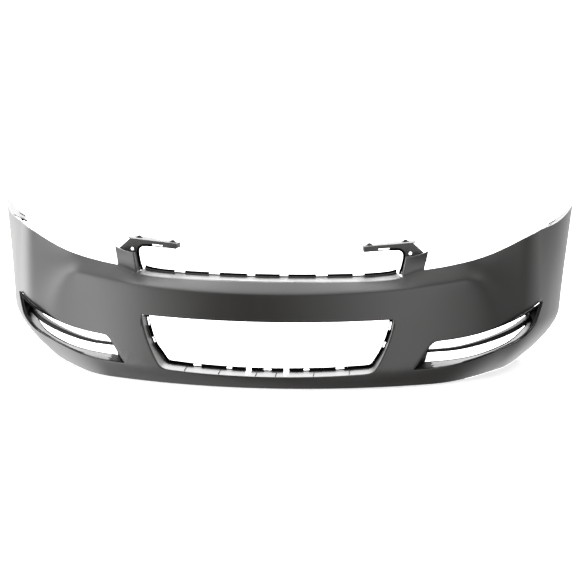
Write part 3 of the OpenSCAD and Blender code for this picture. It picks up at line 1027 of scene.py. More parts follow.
@dataclass(frozen=True)
class VentOutline:
    """Edge of a side vent, and the smaller edge at the back of its recess."""

    inner: float = 418.0
    tip: float = 800.0
    tip_z: float = 216.0
    corner_z: float = 52.0
    turn: float = 456.0
    rear_in_low: float = 468.0
    rear_in_high: float = 481.0
    rear_end: float = 800.0
    rear_sill: float = 63.5
    rear_head: float = 131.0
    low_run: float = 357.0
    high_run: float = 324.0

    def high(self, x: Values) -> Values:
        """Height of the upper edge."""
        rise = self.corner_z + 1.56 * (x - self.inner + 2)
        return soft_min(rise, 134 + 82 * (np.maximum(0.0, x - 480) / 320) ** 2, 14.0)

    def low(self, x: Values) -> Values:
        """Height of the lower edge."""
        sweep = self.corner_z + 47 * (np.maximum(0.0, x - 450) / 260) ** 2
        return sweep + 82 * (np.maximum(0.0, x - 725) / 75) ** 2.5 - 2 * smooth((x - 740) / 60)

    def rear_low(self, x: Values) -> np.ndarray:
        """Points of the rear edge's lower run, for stations of the front edge.

        Args:
            x: Stations across half of the cover.

        Returns:
            Points of (station, height).
        """
        q = np.minimum(self.rear_end, mix(self.rear_in_low, self.rear_end, (x - self.inner) / self.low_run))
        z = self.rear_sill + 75 * (np.maximum(0.0, q - 500) / 300) ** 2.6
        return np.stack([q, z + 26 * smooth((x - 770) / 29)], -1)

    def rear_high(self, x: Values) -> np.ndarray:
        """Points of the rear edge's upper run, for stations of the front edge.

        Args:
            x: Stations across half of the cover.

        Returns:
            Points of (station, height).
        """
        q = np.minimum(self.rear_end, mix(self.rear_in_high, self.rear_end, (x - self.turn) / self.high_run))
        rise = 64 + 3.8 * (q - self.rear_in_low)
        z = soft_min(rise, self.rear_head + 58 * (np.maximum(0.0, q - 500) / 300) ** 1.6, 12.0)
        return np.stack([q, z - 24.5 * smooth((x - 775) / 24)], -1)

    def loop(self, steps: int, turn_steps: int) -> tuple[np.ndarray, np.ndarray]:
        """Both edges, point for point, once round.

        Args:
            steps: Steps along the lower and the upper edge.
            turn_steps: Steps in the inner corner.

        Returns:
            The front edge and the back edge, as (station, height) points.
        """
        end = self.tip - 1
        low = mix(self.inner, end, np.sin(np.linspace(0, math.pi / 2, steps + 1)))
        high = mix(self.turn, end, np.sin(np.linspace(math.pi / 2, 0, steps + 1)))
        side = mix(self.inner, self.turn, np.linspace(1, 0, turn_steps + 1)[1:-1])
        share = ((side - self.inner) / (self.turn - self.inner))[:, None]
        front = [
            np.stack([low, self.low(low)], -1),
            np.stack([high, self.high(high)], -1),
            np.stack([side, self.high(side)], -1),
        ]
        corner = mix(self.rear_low(np.array(self.inner)), self.rear_high(np.array(self.turn)), share)
        rear = [self.rear_low(low), self.rear_high(high), corner]
        return np.concatenate(front), np.concatenate(rear)


SURFACE = CoverSurface()
GRILLE = GrilleOutline()
VENT = VentOutline()


@dataclass
class CoverSkin:
    """The moulded outer skin: face, shelf and wings, with its edges rolled."""

    opening_roll: float = 2.3
    edge_roll: float = 1.3
    low_steps: int = 15
    face_steps: int = 13
    crease_steps: int = 12
    crease_reach: float = 10.0
    shelf_steps: int = 8
    bridge_z: float = 195.0

    def stations(self) -> np.ndarray:
        """Stations across half of the cover, crowded where an opening closes.

        Returns:
            The stations in order.
        """
        near = [np.linspace(0, 300, 46), np.linspace(305, 340, 10), np.linspace(342.5, 352.5, 6)]
        close = [np.array([353.8, 355.0, 355.8, GRILLE.close]), np.linspace(362, 412, 9)]
        vent = [np.array([416.0, 418.8, 421]), np.linspace(424, 470, 13), np.linspace(476, 700, 38)]
        tip = [np.linspace(705, 790, 20), np.array([793.5, 796.5, 798.6, VENT.tip])]
        wing = [np.linspace(SURFACE.wing_fan_x, SURFACE.wing_last_x, 14)]
        return np.concatenate(near + close + vent + tip + wing)

    def heights(self, x: float) -> tuple[np.ndarray, bool, int]:
        """Heights of the grid's rows at a station.

        Args:
            x: The station.

        Returns:
            The heights, whether an opening parts them, and the row below the opening.
        """
        in_grille = x < GRILLE.half
        in_vent = VENT.inner < x < VENT.tip
        if in_grille:
            low, high = float(GRILLE.low(x)), float(GRILLE.high(x))
        elif in_vent:
            low, high = float(VENT.low(x)), float(VENT.high(x))
        elif x < VENT.inner + 1:
            share = (x - GRILLE.half) / (VENT.inner - GRILLE.half - 2)
            low = high = float(mix(self.bridge_z, VENT.corner_z, smooth(share)))
        else:
            low = high = VENT.tip_z
        crease = float(SURFACE.crease_z(x))
        below, above = crease - self.crease_reach, crease + self.crease_reach
        foot = near_edge(0.0, low, self.low_steps, True, True)
        face = near_edge(high, below, self.face_steps, True, False)
        bend = np.linspace(below, above, self.crease_steps + 1)[1:]
        shelf = near_edge(above, float(SURFACE.top_z(x)), self.shelf_steps, False, True)[1:]
        return np.concatenate([foot, face, bend, shelf]), in_grille or in_vent, len(foot) - 1

    def outlines(self) -> tuple[np.ndarray, np.ndarray]:
        """Points close together along the openings' edges and along the outer edges.

        Returns:
            The openings' points and the outer edges' points.
        """
        a, b = np.linspace(0, GRILLE.half, 900), np.linspace(VENT.inner, VENT.tip, 1200)
        rounds = [
            SURFACE.point(a, GRILLE.high(a)),
            SURFACE.point(a[::-1], GRILLE.low(a[::-1])),
            SURFACE.point(b, VENT.high(b)),
            SURFACE.point(b[::-1], VENT.low(b[::-1])),
        ]
        last = SURFACE.wing_last_x
        q, z = np.linspace(0, last, 1800), np.linspace(0, SURFACE.tip_height, 800)
        outer = [
            SURFACE.point(q, np.zeros_like(q)),
            SURFACE.point(np.full_like(z, last), z),
            SURFACE.point(q[::-1], SURFACE.top_z(q[::-1])),
        ]
        return np.concatenate(rounds), np.concatenate(outer)

    @staticmethod
    def roll(points: np.ndarray, line: np.ndarray, radius: float) -> np.ndarray:
        """How far each point is drawn in, so that the edge along a line is rounded.

        Args:
            points: Points of the face.
            line: Points along the edge.
            radius: Radius of the rounding.

        Returns:
            The inset at each point.
        """
        tree = KDTree(len(line))
        for k, p in enumerate(line):
            tree.insert(p, k)
        tree.balance()
        inset = np.zeros(len(points))
        for k, p in enumerate(points):
            _, index, distance = tree.find(p)
            if distance > radius * 2:
                continue
            best = distance
            for near in (max(index - 1, 0), min(index, len(line) - 2)):
                a, b = line[near], line[near + 1]
                along = b - a
                length = float(along @ along)
                if length > 100 or length == 0:
                    continue
                t = min(1.0, max(0.0, float((p - a) @ along) / length))
                best = min(best, float(np.linalg.norm(p - a - t * along)))
            if best < radius:
                inset[k] = radius - math.sqrt(radius**2 - (radius - best) ** 2)
        return inset

    def build(self) -> bpy.types.Object:
        """Makes the skin.

        Returns:
            The piece.
        """
        half = self.stations()
        columns = [self.heights(float(x)) for x in half]
        z = np.stack([c[0] for c in columns])
        is_open = np.array([c[1] for c in columns])
        gap = columns[0][2]
        q = np.repeat(half[:, None], z.shape[1], axis=1)
        points, normals = SURFACE.point(q, z), SURFACE.normal(q, z)
        openings, edges = self.outlines()
        flat = points.reshape(-1, 3)
        opening_inset = self.roll(flat, openings, self.opening_roll)
        inset = np.maximum(opening_inset, self.roll(flat, edges, self.edge_roll))
        front = points - normals * inset.reshape(z.shape)[..., None]
        back = points - normals * SURFACE.wall
        turn = np.array([-1.0, 1.0, 1.0])
        front = np.concatenate([(front * turn)[:0:-1], front])
        back = np.concatenate([(back * turn)[:0:-1], back])
        parted = np.concatenate([is_open[:0:-1], is_open])
        keep = np.ones((len(front) - 1, z.shape[1] - 1), bool)
        keep[:, gap] = ~(parted[:-1] | parted[1:])
        shape = sheet(front, back, keep, finishes=(0, 1, 0))
        looks = (Look.PRIMER, Look.RAW)
        return make_piece("cover_skin_shell", shape, looks, ("cover_skin",), sharp=60)


# ---------------------------------------------------------------------------
# Towers and ledges
# ---------------------------------------------------------------------------


@dataclass
class GrilleTower:
    """An upright plate between the upper opening and the headlamp."""

    foot: float = 395.0
    width: float = 62.0
    top_inner: Point3 = (388.0, -211.0, 373.0)
    top_outer: Point3 = (451.0, -168.0, 387.0)
    side_depth: float = 37.0
    root: float = 9.0
    wall: float = 3.0

    def face_point(self, a: float, h: float) -> np.ndarray:
        """A point of the plate, a share a across it and h up it.

        Args:
            a: Share of the width.
            h: Share of the height.

        Returns:
            The point.
        """
        x = self.foot + self.width * a
        foot = SURFACE.point(x, float(SURFACE.top_z(x)) - 1) + np.array([0, 0.5, 0])
        head = mix(np.array(self.top_inner), np.array(self.top_outer), a)
        head = head + np.array([0, -12 * a * (1 - a), -14 * a * (1 - a)])
        return mix(foot, head, h) + np.array([0, 10, -6]) * h * (1 - h)

    def column(self, a: float, k: float) -> np.ndarray:
        """One upright line of the plate, from its root on the shelf to its top.

        Args:
            a: Share of the way across the face.
            k: Share of the way back along the inner side; 0 on the face.

        Returns:
            The line's points.
        """
        x = self.foot + self.width * a
        top = float(SURFACE.top_z(x))
        start = SURFACE.point(x, top - self.root) + 0.15 * SURFACE.normal(x, top - self.root)
        bend, end = self.face_point(a, 0.0), self.face_point(a, 0.16)
        rows = [
            (1 - t) ** 2 * start + 2 * t * (1 - t) * bend + t * t * end for t in np.linspace(0, 1, 9)
        ]
        shares = [0.0] * 8 + [0.16]
        for h in np.linspace(0.16, 1, 12)[1:]:
            rows.append(self.face_point(a, float(h)))
            shares.append(float(h))
        back = np.array([[(3 * h - 5) * k, self.side_depth * k, 0] for h in shares])
        return np.array(rows) + back

    def build(self, side: Side) -> bpy.types.Object:
        """Makes one tower.

        Args:
            side: Which side of the car it is on.

        Returns:
            The piece.
        """
        spots = [(0.0, k) for k in np.linspace(1, 0.12, 6)]
        spots += [(0.05 * t * t, 0.12 * (1 - t) ** 2) for t in np.linspace(0, 1, 6)[1:]]
        spots += [(a, 0.0) for a in np.linspace(0.05, 1, 18)[1:]]
        grid = np.stack([self.column(float(a), float(k)) for a, k in spots])
        shape = walled(grid, self.wall, finishes=(0, 1, 0)).on_side(side)
        name = f"{side.word}_tower_plate"
        node = f"{side.word}_grille_tower"
        return make_piece(name, shape, (Look.PRIMER, Look.RAW), (node,), bevel=0.5, sharp=45)


@dataclass(frozen=True)
class Window:
    """A hook window in a flange: its middle and its width along the flange."""

    middle: float
    width: float

    @property
    def span(self) -> tuple[float, float]:
        """Where the window starts and ends."""
        return self.middle - self.width / 2, self.middle + self.width / 2


def stations_with(stops: Sequence[float], end: float, step: float) -> np.ndarray:
    """Stations from 0 to an end, at most a step apart, with a station on every stop.

    Args:
        stops: Stations that must be there.
        end: The last station.
        step: The longest step.

    Returns:
        The stations in order.
    """
    marks = sorted({0.0, end, *[s for s in stops if 0 < s < end]})
    runs = []
    for a, b in zip(marks, marks[1:]):
        runs.append(np.linspace(a, b, max(1, math.ceil((b - a) / step)) + 1)[:-1])
    return np.append(np.concatenate(runs), end)


@dataclass
class UpperLedge:
    """The ledge behind the upper opening and the flange at its back, coloured near-black as painted shade."""

    half: float = 394.0
    depth: float = 88.0
    rise: float = 10.0
    flange: float = 7.5
    wall: float = 2.5
    windows: tuple[Window, ...] = (Window(51, 25), Window(167, 35), Window(279, 35))
    foot: tuple[Point2, ...] = ((1.6, 0.9), (0.2, 1.5))

    def line(self, x: np.ndarray, depth: float, lift: float) -> np.ndarray:
        """Points across half of the ledge at one depth and lift above the shelf."""
        return SURFACE.behind(x, SURFACE.top_z(x) + lift, np.full_like(x, depth))

    def build(self) -> list[bpy.types.Object]:
        """Makes the ledge and its flange.

        Returns:
            The two pieces.
        """
        stops = [s for w in self.windows for s in w.span]
        x = stations_with(stops, self.half, 9.0)
        signed = np.concatenate([-x[:0:-1], x])
        size, turn = np.abs(signed), np.sign(signed)
        mirror = np.stack([np.where(turn < 0, -1.0, 1.0), np.ones_like(turn), np.ones_like(turn)], -1)

        def both(points: np.ndarray) -> np.ndarray:
            """Points of half the ledge, moved to their own side."""
            return points * mirror

        rows = [both(SURFACE.point(size, SURFACE.top_z(size) - drop, depth)) for drop, depth in self.foot]
        start = self.shelf_start()
        for depth in np.linspace(start, self.depth - 3, 9):
            lift = 0.4 + (self.rise - 0.4) * (depth - start) / (self.depth - start)
            rows.append(both(self.line(size, float(depth), float(lift))))
        rows.append(both(self.line(size, self.depth - 0.9, self.rise + 0.5)))
        rows.append(both(self.line(size, self.depth - 0.2, self.rise + 2.0)))
        ledge = walled(np.stack(rows, axis=1), self.wall, finishes=(0, 1, 0))
        lifts = [self.rise + step for step in (0.6, 2.2, 2.4, 6.2, self.flange)]
        rim = np.stack([both(self.line(size, self.depth - 0.4, lift)) for lift in lifts], axis=1)
        keep = np.ones((len(signed) - 1, len(lifts) - 1), bool)
        middle = (size[:-1] + size[1:]) / 2
        for window in self.windows:
            low, high = window.span
            keep[(middle > low) & (middle < high), 2] = False
        # The flange takes the near-black finish all over, as painted shade.
        flange = walled(rim, self.wall, keep=keep)
        node = "upper_grille_ledge"
        looks = (Look.PRIMER, Look.RAW)
        return [
            make_piece("upper_ledge_shelf", ledge, looks, (node,), bevel=0.3),
            make_piece("upper_ledge_flange", flange, (Look.RAW,), (node,), bevel=0.3),
        ]

    @staticmethod
    def shelf_start() -> float:
        """Depth at which the ledge leaves the skin."""
        return SURFACE.shelf_setback + 1.5


@dataclass
class LowerLedge:
    """The ledge round the lower opening and the flange at its back, coloured near-black as painted shade."""

    sill_depth: float = 80.0
    side_depth: float = 50.0
    flange: float = 9.5
    draw_in: float = 4.0
    side_draw_in: float = 2.5
    corner_z: float = 198.2
    wall: float = 2.5
    notch: Window = Window(54, 15)
    notch_start: float = 14.0
    sill_windows: tuple[Window, ...] = (Window(0, 22), Window(111, 16), Window(206, 24))
    side_windows: tuple[Window, ...] = (Window(119, 16), Window(175, 25))
    rib_x: tuple[float, ...] = (28.0, 134.0, 234.0)
    rows: int = 12
    sill_end: float = 252.0
    pinch_reach: float = 26.0

    def path(self) -> np.ndarray:
        """Points from the middle of the sill round to the opening's top corner, as (x, z).

        Returns:
            The points in order.
        """
        stops = [s for w in (self.notch, *self.sill_windows) for s in w.span]
        sill = stations_with(stops, self.sill_end, 9.0)
        x = np.append(np.linspace(self.sill_end, GRILLE.half - 0.3, 3000), GRILLE.half - 0.3)
        z = GRILLE.low(x)
        z[-1] = self.corner_z
        run = np.concatenate([[0], np.cumsum(np.hypot(np.diff(x), np.diff(z)))])
        marks = [float(np.interp(s, z, run)) for w in self.side_windows for s in w.span]
        places = stations_with(marks, float(run[-1]), 5.0)[1:]
        side = np.stack([np.interp(places, run, x), np.interp(places, run, z)], -1)
        return np.concatenate([np.stack([sill, GRILLE.low(sill)], -1), side])

    def depth_at(self, z: np.ndarray) -> np.ndarray:
        """Depth of the flange, by height."""
        return mix(self.sill_depth, self.side_depth, smooth((z - 60) / 60))

    def pinched(self, path: np.ndarray, share: float) -> np.ndarray:
        """The path drawn together at the front of the notch, so that it ends in a point.

        Args:
            path: The points of the path.
            share: Share of the ledge's depth.

        Returns:
            The path at that depth.
        """
        offset = path[:, 0] - self.notch.middle
        reach = self.notch.width / 2
        pull = (reach - 0.8) * (1 - smooth((share - 0.15) / 0.6))
        inside = np.abs(offset) <= reach
        beyond = np.clip((self.pinch_reach - np.abs(offset)) / (self.pinch_reach - reach), 0, 1)
        part = np.where(inside, np.abs(offset) / reach, beyond)
        return path - np.stack([np.sign(offset) * pull * part, np.zeros(len(path))], -1)

    def point(self, path: np.ndarray, inward: Values, share: float) -> np.ndarray:
        """Points of the ledge, which runs straight back from the face.

        Args:
            path: Points along the opening's edge.
            inward: Distance into the opening.
            share: Share of the way back to the flange.

        Returns:
            One point for each point of the path.
        """
        tangent = unit(np.gradient(path, axis=0))
        inward = np.broadcast_to(inward, len(path))
        x = path[:, 0] - inward * tangent[:, 1]
        z = path[:, 1] + inward * tangent[:, 0]
        foot = SURFACE.tuck(path[:, 0], path[:, 1]) * (1 - smooth(share * 1.4))
        face = SURFACE.behind(x, z, np.zeros(len(path)))
        depth = 1.2 + (self.depth_at(path[:, 1]) - 1.2) * share
        return np.stack([x, face[:, 1] + foot + depth, z], -1)

    def inward_at(self, path: np.ndarray, share: float) -> np.ndarray:
        """How far the ledge has drawn in, a share of the way back."""
        full = mix(self.draw_in, self.side_draw_in, smooth((path[:, 1] - 60) / 60))
        return 0.6 + (full - 0.6) * share + (1.2 if share == 1.0 else 0.0)

    def build(self) -> list[bpy.types.Object]:
        """Makes the ledge, its flange and its ribs.

        Returns:
            The three pieces.
        """
        path = self.path()
        shares = np.concatenate([[0.0, 0.03], np.linspace(0.08, 0.94, self.rows), [0.985, 1.0]])
        lines = [self.point(self.pinched(path, s), self.inward_at(path, s), s) for s in shares]
        grid = np.stack(lines, axis=1)
        start = self.inward_at(path, 0.9)
        steps = [0.0, 2.4, 2.6, 7.4, self.flange]
        rim = np.stack([self.point(path, start + v, 0.995) for v in steps], axis=1)
        mid = (path[:-1] + path[1:]) / 2
        ledge_keep = np.ones((len(mid), len(shares) - 1), bool)
        rim_keep = np.ones((len(mid), len(steps) - 1), bool)
        in_notch = (mid[:, 0] > self.notch.span[0]) & (mid[:, 0] < self.notch.span[1])
        rim_keep[in_notch] = False
        behind_notch = (shares[:-1] + shares[1:]) / 2 * self.sill_depth > self.notch_start
        ledge_keep[np.ix_(in_notch, behind_notch)] = False
        on_sill = mid[:, 0] < self.sill_end
        for window in self.sill_windows:
            low, high = window.span
            rim_keep[(mid[:, 0] > low) & (mid[:, 0] < high) & on_sill, 2] = False
        for window in self.side_windows:
            low, high = window.span
            rim_keep[(mid[:, 1] > low) & (mid[:, 1] < high) & ~on_sill, 2] = False
        ledge = self.whole(grid, ledge_keep, (0, 1, 0))
        # The flange takes the near-black finish all over, as painted shade.
        flange = self.whole(rim, rim_keep, (0, 0, 0))
        node = "lower_grille_ledge"
        return [
            make_piece("lower_ledge_shelf", ledge, (Look.PRIMER, Look.RAW), (node,)),
            make_piece("lower_ledge_flange", flange, (Look.RAW,), (node,), bevel=0.3),
            self.ribs(),
        ]

    def whole(self, half: np.ndarray, keep: np.ndarray, finishes: tuple[int, int, int]) -> Shape:
        """A wall from one half's grid and its mirror image.

        Args:
            half: One half's grid.
            keep: Which of its cells stay.
            finishes: Finish numbers of front, back and edges.

        Returns:
            The whole wall.
        """
        turn = np.array([-1.0, 1.0, 1.0])
        grid = np.concatenate([(half * turn)[:0:-1], half])
        return walled(grid, self.wall, keep=np.concatenate([keep[::-1], keep]), finishes=finishes)

    def ribs(self) -> bpy.types.Object:
        """Thin ribs that run back along the sill, coloured near-black as painted shade.

        Returns:
            The finished piece.
        """
        spots, turns = [], []
        for x in self.rib_x:
            about = x + np.array([-1.0, 0.0, 1.0])
            near = np.stack([about, GRILLE.low(about)], -1)
            front, back = self.point(near, 1.2, 0.16)[1], self.point(near, 3.0, 0.86)[1]
            along = back - front
            spots.append((front + back) / 2 + np.array([0, 0, 0.6]))
            pitch = math.atan2(along[2], math.hypot(along[0], along[1]))
            turns.append((pitch, 0.0, math.atan2(-along[0], along[1])))
        size = (2.0, float(np.linalg.norm(along)), 2.6)
        # The ribs take the near-black finish, painted shade for their shaded faces.
        ribs = repeat_block("lower_ledge_ribs", np.array(spots), np.array(turns), size, Look.RAW)
        mirror_mesh(ribs)
        settle(ribs, COVER, ("lower_grille_ledge",))
        return ribs


# ---------------------------------------------------------------------------
# Side vents
# ---------------------------------------------------------------------------


@dataclass
class SideVent:
    """The walls of a vent's recess and the blade across it."""

    depth: float = 50.0
    wall: float = 2.2
    steps: int = 90
    turn_steps: int = 16
    blade_start: float = 470.0
    blade_end: float = 797.0
    blade_height: float = 9.0
    blade_swell: float = 6.0
    blade_depth: float = 13.0
    blade_z: float = 98.0
    blade_rise: float = 62.0
    # Faces deeper than lip_depth, beyond pocket_x or short of corner_x, take painted shade.
    pocket_x: float = 762.0
    corner_x: float = 470.0
    lip_depth: float = 14.0
    profile: tuple[Point2, ...] = (
        (0.0, 0.9),
        (0.004, 2.2),
        (0.05, 6.6),
        (0.06, 7.4),
        (0.15, 8.6),
        (0.165, 9.4),
        (0.2, 13.0),
        (0.5, 27.0),
        (0.8, 40.5),
        (0.97, 48.6),
        (1.0, 50.0),
    )

    def walls(self, side: Side) -> bpy.types.Object:
        """Makes the recess walls, with the narrow step behind their lip.

        Args:
            side: Which side of the car it is on.

        Returns:
            The piece.
        """
        front, rear = VENT.loop(self.steps, self.turn_steps)
        rows = []
        for share, depth in self.profile:
            edge = mix(front, rear, share)
            inset = SURFACE.tuck(front[:, 0], front[:, 1]) * (1 - smooth(share * 1.6))
            rows.append(SURFACE.behind(edge[:, 0], edge[:, 1], depth + inset))
        grid = np.stack(rows, axis=1)
        shape = walled(grid, self.wall, wrap=True, finishes=(0, 1, 1))
        # Faces deep in both ends of the recess take the near-black finish as painted shade.
        shape.finish = [self.painted_shade_finish(shape.points[list(f)], n) for f, n in zip(shape.faces, shape.finish)]
        shape = shape.on_side(side)
        name, node = f"{side.word}_vent_walls", f"{side.word}_vent_bezel"
        return make_piece(name, shape, (Look.GRAINED, Look.RAW), (node,), sharp=30)

    def painted_shade_finish(self, corners: np.ndarray, finish: int) -> int:
        """The near-black finish as painted shade for faces deep in the two ends of the recess, or else the
        face's own.

        Args:
            corners: The face's corners.
            finish: The face's own finish.

        Returns:
            The finish to use.
        """
        x, y, _ = corners.mean(axis=0)
        deep = y - SURFACE.plan_y(x) > self.lip_depth
        return 1 if deep and (x > self.pocket_x or x < self.corner_x) else finish

    def rim(self, side: Side) -> bpy.types.Object:
        """Makes the black rim at the back of the recess.

        Args:
            side: Which side of the car it is on.

        Returns:
            The finished piece.
        """
        _, rear = VENT.loop(self.steps, self.turn_steps)
        middle = rear.mean(axis=0)
        outward = unit(rear - middle)
        rows = [
            SURFACE.behind(rear[:, 0], rear[:, 1], np.full(len(rear), self.depth - 0.6)),
            SURFACE.behind(*(rear - 1.8 * outward).T, np.full(len(rear), self.depth - 0.2)),
            SURFACE.behind(*(rear - 2.6 * outward).T, np.full(len(rear), self.depth + 1.2)),
        ]
        shape = walled(np.stack(rows, axis=1), 1.6, wrap=True).on_side(side)
        name, node = f"{side.word}_vent_rim", f"{side.word}_vent_bezel"
        return make_piece(name, shape, (Look.RAW,), (node,))

    def blade(self, side: Side) -> bpy.types.Object:
        """Makes the blade across the recess.

        Args:
            side: Which side of the car it is on.

        Returns:
            The piece.
        """
        x = np.linspace(self.blade_start, self.blade_end, 70)
        z = self.blade_z + self.blade_rise * (np.maximum(0.0, x - 530) / 260) ** 1.7
        height = self.blade_height + self.blade_swell * smooth((x - 500) / 260)
        path = SURFACE.behind(x, z, np.full_like(x, self.depth - 7))
        swell = height / self.blade_height
        name = f"{side.word}_vent_bar"
        bar = sweep_bar(name, path, swell, self.blade_depth, self.blade_height, 2.6, Look.BLADE)
        if side is Side.RIGHT:
            flip_mesh(bar)
        bar.data.shade_smooth()
        bar.data.set_sharp_from_angle(angle=math.radians(40))
        settle(bar, COVER, (f"{side.word}_vent_blade",))
        return bar


def flip_mesh(piece: bpy.types.Object) -> None:
    """Moves a mesh to the other side of the car, with its faces still outwards.

    Args:
        piece: A piece made on the left.
    """
    work = bmesh.new()
    work.from_mesh(piece.data)
    for corner in work.verts:
        corner.co.x = -corner.co.x
    bmesh.ops.reverse_faces(work, faces=work.faces[:])
    work.to_mesh(piece.data)
    work.free()


# ---------------------------------------------------------------------------
# Upper arms and their fasteners
# ---------------------------------------------------------------------------


@dataclass
class UpperArm:
    """The black arm that runs in from a tower over the upper opening."""

    start: Point3 = (268.0, -187.5, 398.0)
    sweep: float = 6.84
    tilt: float = 5.0
    length: float = 139.0
    web: float = 3.0
    shelf: float = 3.0
    locator: Point2 = (399.5, 379.5)
    locator_r: float = 4.5
    seats: tuple[Point2, Point2] = ((123.0, 38.0), (18.0, 23.0))
    under: tuple[Point2, ...] = (
        (268, 398),
        (269, 382),
        (308, 385.5),
        (341, 387.5),
        (360, 388),
        (366, 387.8),
        (371, 386.4),
        (375.5, 383),
        (378, 379),
        (378.9, 375),
        (378.5, 366),
        (375.5, 349),
        (372, 336),
        (367.5, 323),
        (367, 320),
    )
    lip_from: int = 3
    slit: tuple[Point2, ...] = ((374.5, 344), (379, 344), (379, 323), (370.5, 323))
    outer: tuple[Point2, ...] = ((392, 320), (398, 344), (446, 356), (447, 374), (434, 385), (406, 410))

    @property
    def place(self) -> np.ndarray:
        """Placement of the arm: along it, back, and up."""
        return placement(self.start, rz=self.sweep)

    @property
    def shelf_place(self) -> np.ndarray:
        """Placement of the arm's top shelf."""
        return self.place @ placement((0, 0, 0), ry=-self.tilt)

    def flat(self, p: Point2) -> Point2:
        """A point seen from the front, as distances along and up the web."""
        return (p[0] - self.start[0]) / math.cos(math.radians(self.sweep)), p[1] - self.start[2]

    def upright(self, shape: Shape, depth: float) -> Shape:
        """A plate drawn in the web's plane, stood up at a depth behind its front."""
        stand = placement((0, depth, 0), rx=90)
        return shape.moved(stand).moved(self.place)

    def build(self, side: Side) -> list[bpy.types.Object]:
        """Makes the arm's pieces.

        Args:
            side: Which side of the car it is on.

        Returns:
            The pieces.
        """
        hole = ring(self.flat(self.locator), self.locator_r, 40)
        slot = [self.flat(p) for p in ((309, 388.4), (340, 391), (340, 394.5), (309, 392))]
        outline = [self.flat(p) for p in self.under + self.outer]
        slit = [self.flat(p) for p in self.slit]
        web = self.upright(slab(outline, [hole, slot, slit], 0.0, self.web), self.web)
        bosses = [self.upright(self.boss(9.0, 1.6, 1.4), 0.0), self.upright(self.boss(17.5, 1.2, 0.7), 0.0)]
        name, node = f"{side.word}_arm_web", f"{side.word}_upper_arm"
        front = web.joined(*bosses, self.end_block()).on_side(side)
        pieces = [make_piece(name, front, (Look.GRAINED,), (node,), bevel=0.5, sharp=30)]
        shelf = self.shelf_shape().joined(self.box_shape()).on_side(side)
        name = f"{side.word}_arm_shelf"
        pieces.append(make_piece(name, shelf, (Look.GRAINED,), (node,), bevel=0.5, sharp=30))
        pieces.append(self.lip(side))
        pieces.append(self.shelf_ribs(side))
        return pieces

    def boss(self, radius: float, width: float, proud: float) -> Shape:
        """A raised ring round the locating hole, in the web's plane."""
        middle = self.flat(self.locator)
        return slab(ring(middle, radius + width, 48), [ring(middle, radius, 48)], -0.2, proud)

    def end_block(self) -> Shape:
        """The thicker block at the arm's free end."""
        corners = ((268.5, 397), (270, 383), (306, 386.5), (306, 397.5))
        return self.upright(slab([self.flat(p) for p in corners], [], -0.2, 2.4), 0.0)

    def shelf_shape(self) -> Shape:
        """The top shelf with the holes for its retainers.

        Returns:
            The shelf in place.
        """
        end = self.length
        outline = [(0, 2), (end, 2), (end + 14, 26), (end + 6, 70), (96, 70), (60, 42), (0, 42)]
        holes = [ring(seat, 4.3, 32) for seat in self.seats]
        return slab(outline, holes, -self.shelf, 0.0).moved(self.shelf_place)

    def box_shape(self) -> Shape:
        """Cheeks that close the arm's free end into a box.

        Returns:
            The box in place.
        """
        low, high = -14.0, -2.0
        cheeks = [slab([(u, 2), (u + 2, 2), (u + 2, 40), (u, 40)], [], low, high) for u in (0.0, 38.0)]
        wall = slab([(0, 38), (40, 38), (40, 40), (0, 40)], [], low, high)
        return cheeks[0].joined(cheeks[1], wall).moved(self.place)

    def lip(self, side: Side) -> bpy.types.Object:
        """The lip that edges the opening under the arm and down its leg, coloured near-black as painted
        shade.

        Args:
            side: Which side of the car it is on.

        Returns:
            The finished piece.
        """
        edge = np.array([self.flat(p) for p in self.under[self.lip_from:]])
        run = np.concatenate([[0], np.cumsum(np.linalg.norm(np.diff(edge, axis=0), axis=1))])
        even = np.linspace(0, run[-1], 60)
        line = np.stack([np.interp(even, run, edge[:, 0]), np.interp(even, run, edge[:, 1])], -1)
        tangent = unit(np.gradient(line, axis=0))
        inward = np.stack([-tangent[:, 1], tangent[:, 0]], -1)
        rows = []
        for offset, depth in ((-0.4, -1.2), (6.0, -1.2), (6.6, -0.5), (6.6, 0.6)):
            p = line + offset * inward
            rows.append(np.stack([p[:, 0], np.full(len(p), depth), p[:, 1]], -1))
        grid = np.stack(rows, axis=1)
        points = grid.reshape(-1, 3) @ self.place[:3, :3].T + self.place[:3, 3]
        shape = walled(points.reshape(grid.shape), 1.4).on_side(side)
        name, node = f"{side.word}_arm_lip", f"{side.word}_upper_arm"
        # The lip takes the near-black finish all over, as painted shade.
        return make_piece(name, shape, (Look.RAW,), (node,), bevel=0.3)

    def shelf_ribs(self, side: Side) -> bpy.types.Object:
        """Stiffening ribs under the top shelf.

        Args:
            side: Which side of the car it is on.

        Returns:
            The finished piece.
        """
        spots, turns = [], []
        for u in (56.0, 74.0, 92.0, 108.0):
            spot = self.shelf_place @ np.array([u, 20.0, -self.shelf - 3.5, 1.0])
            spots.append(spot[:3])
            turns.append((0.0, math.radians(-self.tilt), math.radians(self.sweep)))
        name = f"{side.word}_arm_ribs"
        ribs = repeat_block(name, np.array(spots), np.array(turns), (1.6, 34.0, 8.0), Look.GRAINED)
        if side is Side.RIGHT:
            flip_mesh(ribs)
        settle(ribs, COVER, (f"{side.word}_upper_arm",))
        return ribs


# ---------------------------------------------------------------------------
# Carried-over nodes
# ---------------------------------------------------------------------------


CARRIED = {
    "fender_flange": Look.PRIMER,
    "arch_flange": Look.PRIMER,
    "lower_edge_flange": Look.RAW,
    "fender_nuts": Look.SPRING,
    "retainer": Look.NYLON,
    "pin": Look.NYLON,
}


